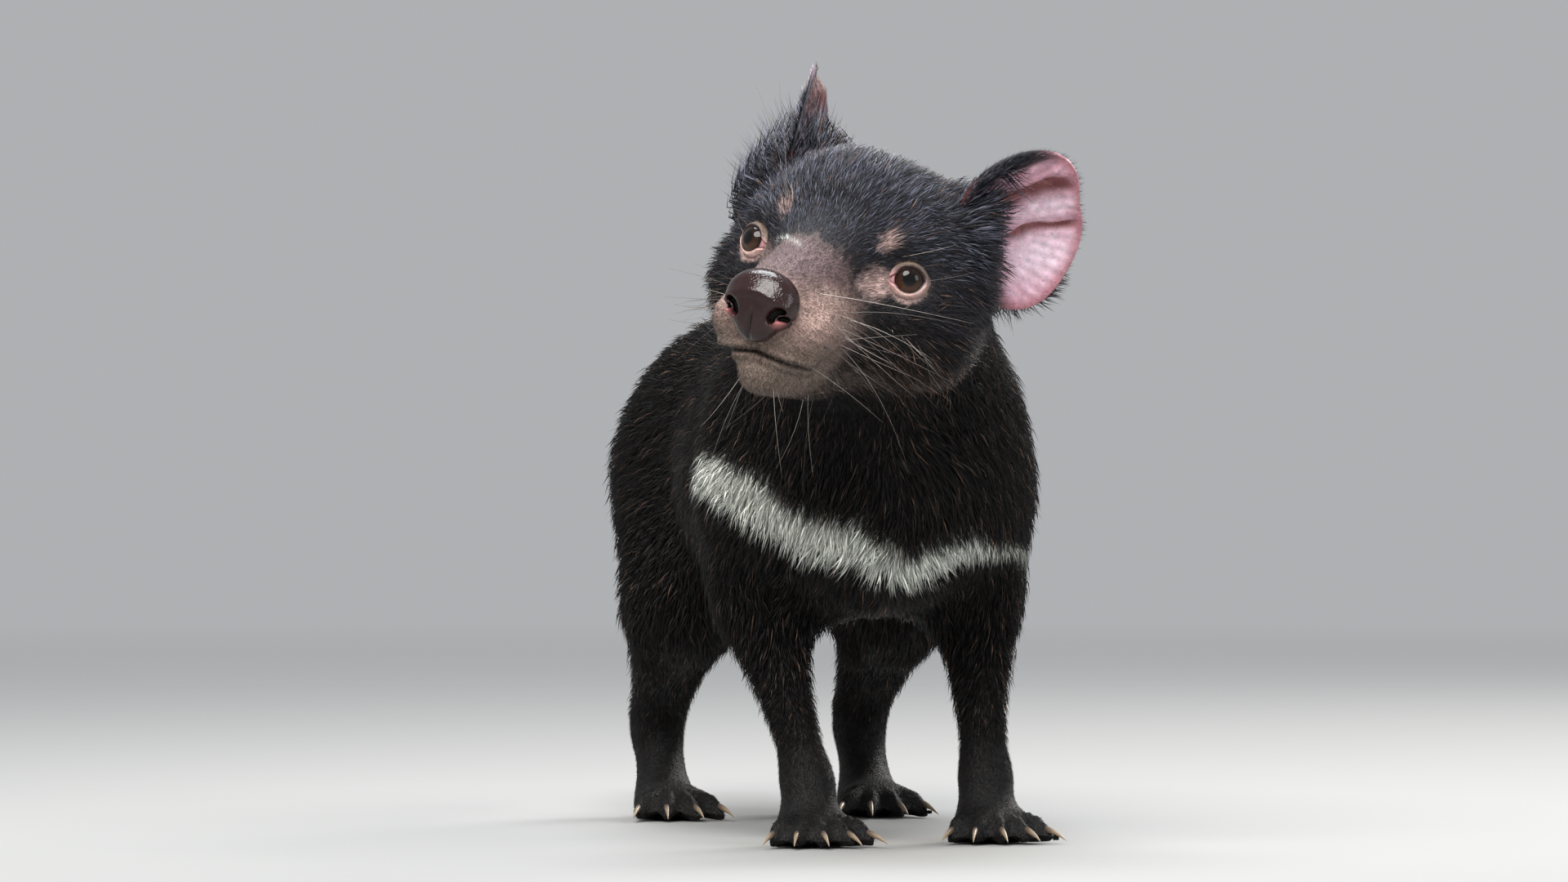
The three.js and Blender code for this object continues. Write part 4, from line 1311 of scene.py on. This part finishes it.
def ear_form(side, wide, high):
    """Points of the ear's open face in the head frame, and their colours, for shares of its disc."""
    across, grow, face = ear_frame(side)
    reach = ear_reach(side, wide, high)
    ahead = side * wide * reach
    along = EAR_STEM + high * reach
    rim = wide**2 + high**2
    fade = fall(rim, 0.72, 1.0)
    flat = np.stack([ahead, along, 0 * along], 1)
    wander = 1.2 * mottle(flat, 9.0)
    first = bell(ahead + wander, 4.5, 2.9) * rise(along, 4, 14) * fall(along, 38, 50)
    second = bell(ahead + 0.12 * along - wander, -9.0, 1.7) * rise(along, 10, 20)
    ridge = bell(ahead + wander, 12.5, 3.4) * rise(along, 6, 16)
    pleats = np.sin(ahead * 1.3 + along * 0.7 + 2 * wander) * fall(ahead, -14, -4) * fall(along, 14, 26)
    folds = 3.0 * first + 2.4 * second - 2.0 * ridge + 0.3 * pleats + 0.5 * mottle(flat, 4.0)
    depth = EARS[side]["cup"] * (1 - rim) + folds * fade + 0.5 * rise(rim, 0.88, 1.0) - 0.6
    sheet = across * (wide * reach)[:, None] + grow * along[:, None]
    points = EARS[side]["root"] + sheet - face * depth[:, None]
    # Pale patches of the ear's skin; the one between the grooves is partly a painted highlight
    pale = np.maximum(
        bell(ahead, -4, 5.5) * bell(along, 33, 12),
        bell(ahead, -22, 10) * bell(along, 24, 15),
    )
    shade = mix(EAR_PINK, EAR_PALE, np.clip(1.1 * pale + 0.25 * mottle(flat, 3.0), 0, 1))
    streaks = np.sin(np.arctan2(along + 6, ahead) * 62 + 1.4 * mottle(flat, 7.0)) * rise(rim, 0.1, 0.4)
    shade = shade * (1 + 0.2 * streaks * (0.6 + 0.4 * mottle(flat, 3.0)))[:, None]
    # The grooves are painted red: partly the ear's own red skin, partly painted shade in the grooves
    red_groove_and_shade = bell(ahead + wander, 5.5, 4.2) * rise(along, 6, 18) * fall(along, 40, 50)
    shade = mix(shade, EAR_RED, np.clip(1.2 * red_groove_and_shade + 1.2 * second, 0, 0.9) * (0.35 + 0.65 * fade))
    shade = mix(shade, EAR_RIM, rise(rim, 0.74, 0.98) * 0.8)
    if side == RIGHT:
        shade = mix(shade, mix(EAR_LILAC, EAR_RED, fall(ahead, -9, 3)), rise(rim, 0.3, 0.65))
        shade = mix(shade, HEAD_GREY, rise(rim, 0.7, 0.95) * (1 - 0.7 * rise(along, 34, 48)))
    furred_to = EARS[side]["furred_to"]
    shade = mix(shade, HEAD_GREY * 0.7, rise(ahead, 17, 23) * fall(along, furred_to, furred_to + 18))
    shade = mix(shade, EAR_RED * 0.4, fall(along, 0, 9) * 0.8)
    return points, shade


def make_ear(side):
    bm = bmesh.new()
    bmesh.ops.create_grid(bm, x_segments=EAR_CELLS, y_segments=EAR_CELLS, size=1)
    x, y = np.array([vertex.co[:2] for vertex in bm.verts]).T
    points, colours = ear_form(side, x * np.sqrt(1 - y**2 / 2), y * np.sqrt(1 - x**2 / 2))
    for vertex, point in zip(bm.verts, from_head(points)):
        vertex.co = point
    face_towards(bm, ear_frame(side)[2])
    name = SIDE_NAMES[side]
    made = piece_from(bm, f"ear_cup_{name}", colours, EAR, [f"ear_{name}"])
    made.data.materials.append(EAR_OUTSIDE[side].material)
    give_wall(made, EAR_WALL).material_offset = 1


def disc_points(count):
    reach = np.sqrt(random.random(count))
    angle = random.random(count) * 2 * math.pi
    return reach * np.cos(angle), reach * np.sin(angle)


def ear_roots(side, wide, high, backwards):
    """Roots of hair on one face of an ear, which run from its stem to the rim."""
    step = 0.02
    here, _ = ear_form(side, wide, high)
    beside, _ = ear_form(side, wide + step, high)
    above, _ = ear_form(side, wide, high + step)
    normal = unit(np.cross(beside - here, above - here))
    normal *= np.sign(normal @ ear_frame(side)[2])[:, None]
    out = unit((beside - here) * wide[:, None] * 0.9 + (above - here) * (high + 0.9)[:, None])
    if backwards:
        here = here - normal * EAR_WALL
        normal = -normal
    return {
        "place": from_head(here),
        "normal": normal @ HEAD_TURN.T,
        "flow": out @ HEAD_TURN.T,
        "wide": wide * side,
        "high": high,
        "rim": wide**2 + high**2,
        "width": np.full(len(wide), 0.75),
    }


def grow_ear_coat(side):
    """Fur on the back and along the front edge, long dark hairs at the base, and a fine down inside."""
    wide, high = disc_points(EAR_HAIRS)
    back = ear_roots(side, wide, high, True)
    lobe = rise(-back["wide"], 0.35, 0.8) * fall(back["high"], -0.1, 0.5)
    back["length"] = blend(EARS[side]["hair"], 2.6, rise(back["high"], -0.8, 0.5)) + 10.0 * lobe
    back["colour"] = mix(HEAD_GREY * 0.8, EAR_BACK, rise(back["rim"], 0.5, 1.0) * 0.4)
    keep_back = random.random(EAR_HAIRS) < 0.8
    wide, high = disc_points(EAR_HAIRS)
    inside = ear_roots(side, wide, high, False)
    reach = ear_reach(side, wide, high)
    ahead, along = side * wide * reach, EAR_STEM + high * reach
    edge = rise(ahead, 16, 23) * fall(along, 26, 42)
    draw_way = random.random(EAR_HAIRS)
    wool = 0 * edge
    for middle, up, size in EAR_TUFTS[side]:
        wool = np.maximum(wool, bell(ahead, middle, size) * bell(along, up, size))
    inside["length"] = 2.2 + 2.0 * edge + 10.0 * wool
    over = unit(-ear_frame(side)[0] + 0.35 * ear_frame(side)[1]) @ HEAD_TURN.T
    crossing = rise(wool, 0.2, 0.6) * rise(ahead, 4, 12) * (side == LEFT)
    inside["flow"] = unit(mix(inside["flow"], over, crossing * rise(draw_way, 0.05, 0.45)))
    draw = random.random(EAR_HAIRS)
    down = mix(EAR_PALE, EAR_RED * 0.6, rise(draw, 0.16, 0.2))
    inside["colour"] = mix(down, HEAD_GREY * 0.6, np.maximum(edge, rise(wool, 0.2, 0.5)))
    keep_inside = (draw < 0.30 + 0.7 * edge) & ((wool < 0.2) | (draw_way < 0.45))
    sets = ((back, keep_back, 0.25), (inside, keep_inside, 0.75))
    roots = {key: np.concatenate([made[key][keep] for made, keep, _ in sets]) for key in back}
    roots["lift"] = 12 + 3.0 * np.maximum(roots["length"] - 5, 0)
    patches = [
        np.stack([middle + 0.22 * made["wide"], 0.5 + 0.45 * made["high"]], 1)[keep]
        for made, keep, middle in sets
    ]
    name = f"coat_ear_{SIDE_NAMES[side]}"
    piece(name, tufts(roots, np.concatenate(patches), name), COAT)


# Whiskers: thin tapered hairs in tufts of their own, rooted in the skin

WHISKER_RING = 5
WHISKER_STEPS = 12
WHISKER_THICK = 0.12
WHISKER_ROOM = 8.0
BOTH = (LEFT, RIGHT)

# Groups of whiskers: how many on a side, the sides, their root and its spread, their way and how far they
# stray from it, and their shortest and longest length
WHISKERS = {
    "brow_left": (3, (LEFT,), (25, -6, 13), (2.5, 1, 2.5), (0.8, -0.08, 0.62), 0.07, (50, 62)),
    "brow_right": (4, (RIGHT,), (20, -8, 17), (1.5, 1, 1.5), (0.24, -0.34, 0.93), 0.09, (40, 60)),
    "muzzle": (22, BOTH, (22, -27, -27), (3, 6, 6), (0.9, 0.25, -0.15), 0.24, (20, 48)),
    "cheek": (8, BOTH, (38, 6, -26), (4, 6, 5), (0.6, 0.35, -0.6), 0.2, (12, 26)),
    "temple": (3, BOTH, (33, 0, 1), (3, 3, 4), (0.78, 0.3, 0.4), 0.15, (18, 34)),
    "chin": (3, BOTH, (7, -34, -52), (6, 5, 2), (0.25, 0.1, -0.95), 0.22, (10, 34)),
    "throat": (4, BOTH, (12, 2, -52), (6, 6, 3), (0.35, 0.1, -0.92), 0.2, (14, 34)),
}


def outside_box(point):
    """True where the tip of a hair would leave the room that the coat has round the solids."""
    place = to_frame(from_head(point))
    low, high = np.array(cad_low), np.array(cad_high)
    room = (high - low) * 0.03 + WHISKER_ROOM * MM
    return bool(np.any(place < low - room) or np.any(place > high + room))


def whisker(skin_tree, side, place, spread, way, stray, reach):
    """The rings of one tapered hair in the head frame, and the colour of each."""
    around = np.arange(WHISKER_RING) * 2 * math.pi / WHISKER_RING
    guess = (np.array(place) + random.normal(0, 1, 3) * spread) * (side, 1, 1)
    found = skin_tree.find_nearest(Vector(to_frame(from_head(guess))))
    root = into_head(to_stance(np.array(found[0])))
    way = unit(np.array(way) + random.normal(0, stray, 3)) * (side, 1, 1)
    length = random.uniform(*reach)
    sag = unit(random.normal(0, 1, 3) + (0, 0.4, -0.6)) * random.uniform(0.1, 0.4)
    share = np.linspace(0, 1, WHISKER_STEPS)[:, None]
    curve = way * share + sag * share**2
    while outside_box(root + curve[-1] * length):
        length *= 0.92
    path = root - way + curve * length
    thick = WHISKER_THICK * (1 - 0.8 * share) * random.uniform(0.8, 1.1)
    across = unit(np.cross(way, (0.1, 0.2, 1)))
    ring = across * np.cos(around)[:, None] + np.cross(way, across) * np.sin(around)[:, None]
    hue = mix(WHISKER_DARK, WHISKER_PALE, random.choice([0.0, 0.15, 0.4, 0.85]))
    return path[:, None] + thick[:, None] * ring, mix(hue, BROWN_TIP, share[:, 0] * 0.4)


def make_whiskers(skin_tree, name, count, sides, *form):
    vertices, tints = [], []
    for side in sides:
        for _ in range(count):
            rings, shades = whisker(skin_tree, side, *form)
            vertices.append(rings.reshape(-1, 3))
            tints.append(np.repeat(shades, WHISKER_RING, 0))
    shape = tube(WHISKER_RING, WHISKER_STEPS)
    last = (WHISKER_STEPS - 1) * WHISKER_RING
    for k in range(1, WHISKER_RING - 1):
        shape.append((0, k + 1, k))
        shape.append((last, last + k, last + k + 1))
    faces = copies(shape, len(vertices), len(vertices[0]))
    mesh = mesh_of_arrays(f"whiskers_{name}", from_head(np.concatenate(vertices)), faces)
    paint(mesh, np.concatenate(tints))
    piece(f"whiskers_{name}", mesh, WHISKER)


# Claws: bent cones of horn, one to each toe


def make_claws(name, foot, toes):
    bm = bmesh.new()
    colours = []
    for toe in range(toes["count"]):
        share = toe / (toes["count"] - 1) - 0.5
        angle = math.radians(share * toes["spread"])
        reach = toes["reach"] * (1 - 0.6 * share * share)
        ahead = Vector((math.sin(angle), -math.cos(angle), 0))
        beside = Vector((-ahead.y, ahead.x, 0))
        tip = Vector((foot[0] + share * CLAW_ROW, foot[1] - toes["back"], CLAW_HEIGHT)) + ahead * reach
        rings = []
        for step in range(CLAW_STEPS + 1):
            along = step / CLAW_STEPS
            radius = CLAW_RADIUS * (1 - along) ** 0.7 * (1 - 0.15 * along) + 0.05
            middle = tip + ahead * (CLAW_LENGTH * (1.2 * along - 0.25))
            middle.z -= CLAW_DROP * along**2
            ring = []
            for k in range(CLAW_SIDES):
                around = 2 * math.pi * k / CLAW_SIDES
                offset = beside * (0.75 * radius * math.cos(around))
                offset.z = radius * math.sin(around)
                ring.append(bm.verts.new(middle + offset))
                colours.append(mix(CLAW_ROOT, CLAW_HORN, rise(along, 0.15, 0.6)))
            rings.append(ring)
        close_rings(bm, rings)
        bm.faces.new(rings[0][::-1])
        bm.faces.new(rings[-1])
    face_outwards(bm)
    piece_from(bm, name, colours, CLAW)


# Stage

FLOOR_RADIUS = 3500.0
FLOOR_FADE = 350.0
FLOOR_GONE = 2300.0
FLOOR_PALE = (0.30, 0.30, 0.295)
SKY_PALE = (0.85, 0.87, 0.90)
SKY_STRENGTH = 0.5
LIGHT_AIM = (-20, 0, 170)

# Each light: its place, width, power and tint
LIGHTS = {
    "key": ((-700, -1200, 1600), 1400, 62, (1.0, 0.98, 0.95)),
    "fill": ((1500, -1500, 700), 1200, 12, (0.93, 0.97, 1.0)),
    "top": ((0, 400, 1900), 1200, 42, (0.94, 0.97, 1.0)),
    "rim": ((1100, 1100, 900), 700, 20, (1.0, 0.97, 0.92)),
}


def make_stage():
    """A wide pale floor that fades into the pale light around it."""
    bm = bmesh.new()
    bmesh.ops.create_circle(bm, cap_ends=True, segments=96, radius=FLOOR_RADIUS)
    floor = add_object("floor", mesh_from(bm, "floor"))
    finish = Finish("floor", 0.75, FLOOR_PALE)
    distance = finish.node("ShaderNodeVectorMath", operation="LENGTH")
    finish.link(finish.place(), distance.inputs[0])
    fading = finish.spread(distance.outputs["Value"], 0, 1, FLOOR_FADE * MM, FLOOR_GONE * MM)
    both = finish.node("ShaderNodeMixShader")
    finish.link(fading, both.inputs[0])
    finish.link(finish.shader.outputs[0], both.inputs[1])
    finish.link(finish.node("ShaderNodeBsdfTransparent").outputs[0], both.inputs[2])
    finish.link(both.outputs[0], finish.tree.nodes["Material Output"].inputs["Surface"])
    floor.data.materials.append(finish.material)


def set_up(made, place, way):
    """Places a light or a camera and turns it to look a way."""
    made.location = to_frame(place)
    made.rotation_mode = "QUATERNION"
    made.rotation_quaternion = Vector(way).to_track_quat("-Z", "Y")


def make_lights():
    for name, (place, size, power, tint) in LIGHTS.items():
        data = bpy.data.lights.new(name, "AREA")
        data.shape = "DISK"
        data.size = size * MM
        data.energy = power
        data.color = tint
        set_up(add_object(name, data), place, to_frame(LIGHT_AIM) - to_frame(place))
    world = bpy.data.worlds.new("studio")
    world.use_nodes = True
    sky = world.node_tree.nodes["Background"].inputs
    sky["Color"].default_value = (*SKY_PALE, 1)
    sky["Strength"].default_value = SKY_STRENGTH
    bpy.context.scene.world = world
    bpy.context.scene.view_settings.view_transform = "Standard"


def make_camera():
    azimuth, elevation = math.radians(CAMERA_AZIMUTH), math.radians(CAMERA_ELEVATION)
    level = math.cos(elevation)
    back = np.array([math.sin(azimuth) * level, -math.cos(azimuth) * level, math.sin(elevation)])
    data = bpy.data.cameras.new("camera")
    data.lens = CAMERA_LENS
    data.clip_start = 0.1
    data.clip_end = 100
    camera = add_object("camera", data)
    set_up(camera, CAMERA_TARGET + back * CAMERA_DISTANCE, -back)
    bpy.context.scene.camera = camera


make_camera()
make_stage()
make_lights()
skin_mesh = make_skin()
skin = Skin(skin_mesh)
under_coat = coat_colours(skin.points, skin.heads)
# Where fur covers the skin, the skin is painted darker: a painted shade between the hairs
furry = (under_coat.sum(1) < 0.12)[:, None]
paint(skin_mesh, under_coat * np.where(furry, 0.45, 0.9))
piece("skin", skin_mesh, SKIN, FLESH_NODES)
skin_bmesh = bmesh.new()
skin_bmesh.from_mesh(skin_mesh)
skin_tree = BVHTree.FromBMesh(skin_bmesh)
skin_bmesh.free()
make_nose(skin_tree)
for side in (LEFT, RIGHT):
    make_eye(side)
    make_lids(side)
    make_ear(side)
    make_claws(f"claws_forepaw_{SIDE_NAMES[side]}", FORE_FOOT[side], FORE_TOES)
    make_claws(f"claws_hindpaw_{SIDE_NAMES[side]}", HIND_FOOT[side], HIND_TOES)
grow_coat(skin)
for side in (LEFT, RIGHT):
    grow_ear_coat(side)
for name, form in WHISKERS.items():
    make_whiskers(skin_tree, name, *form)
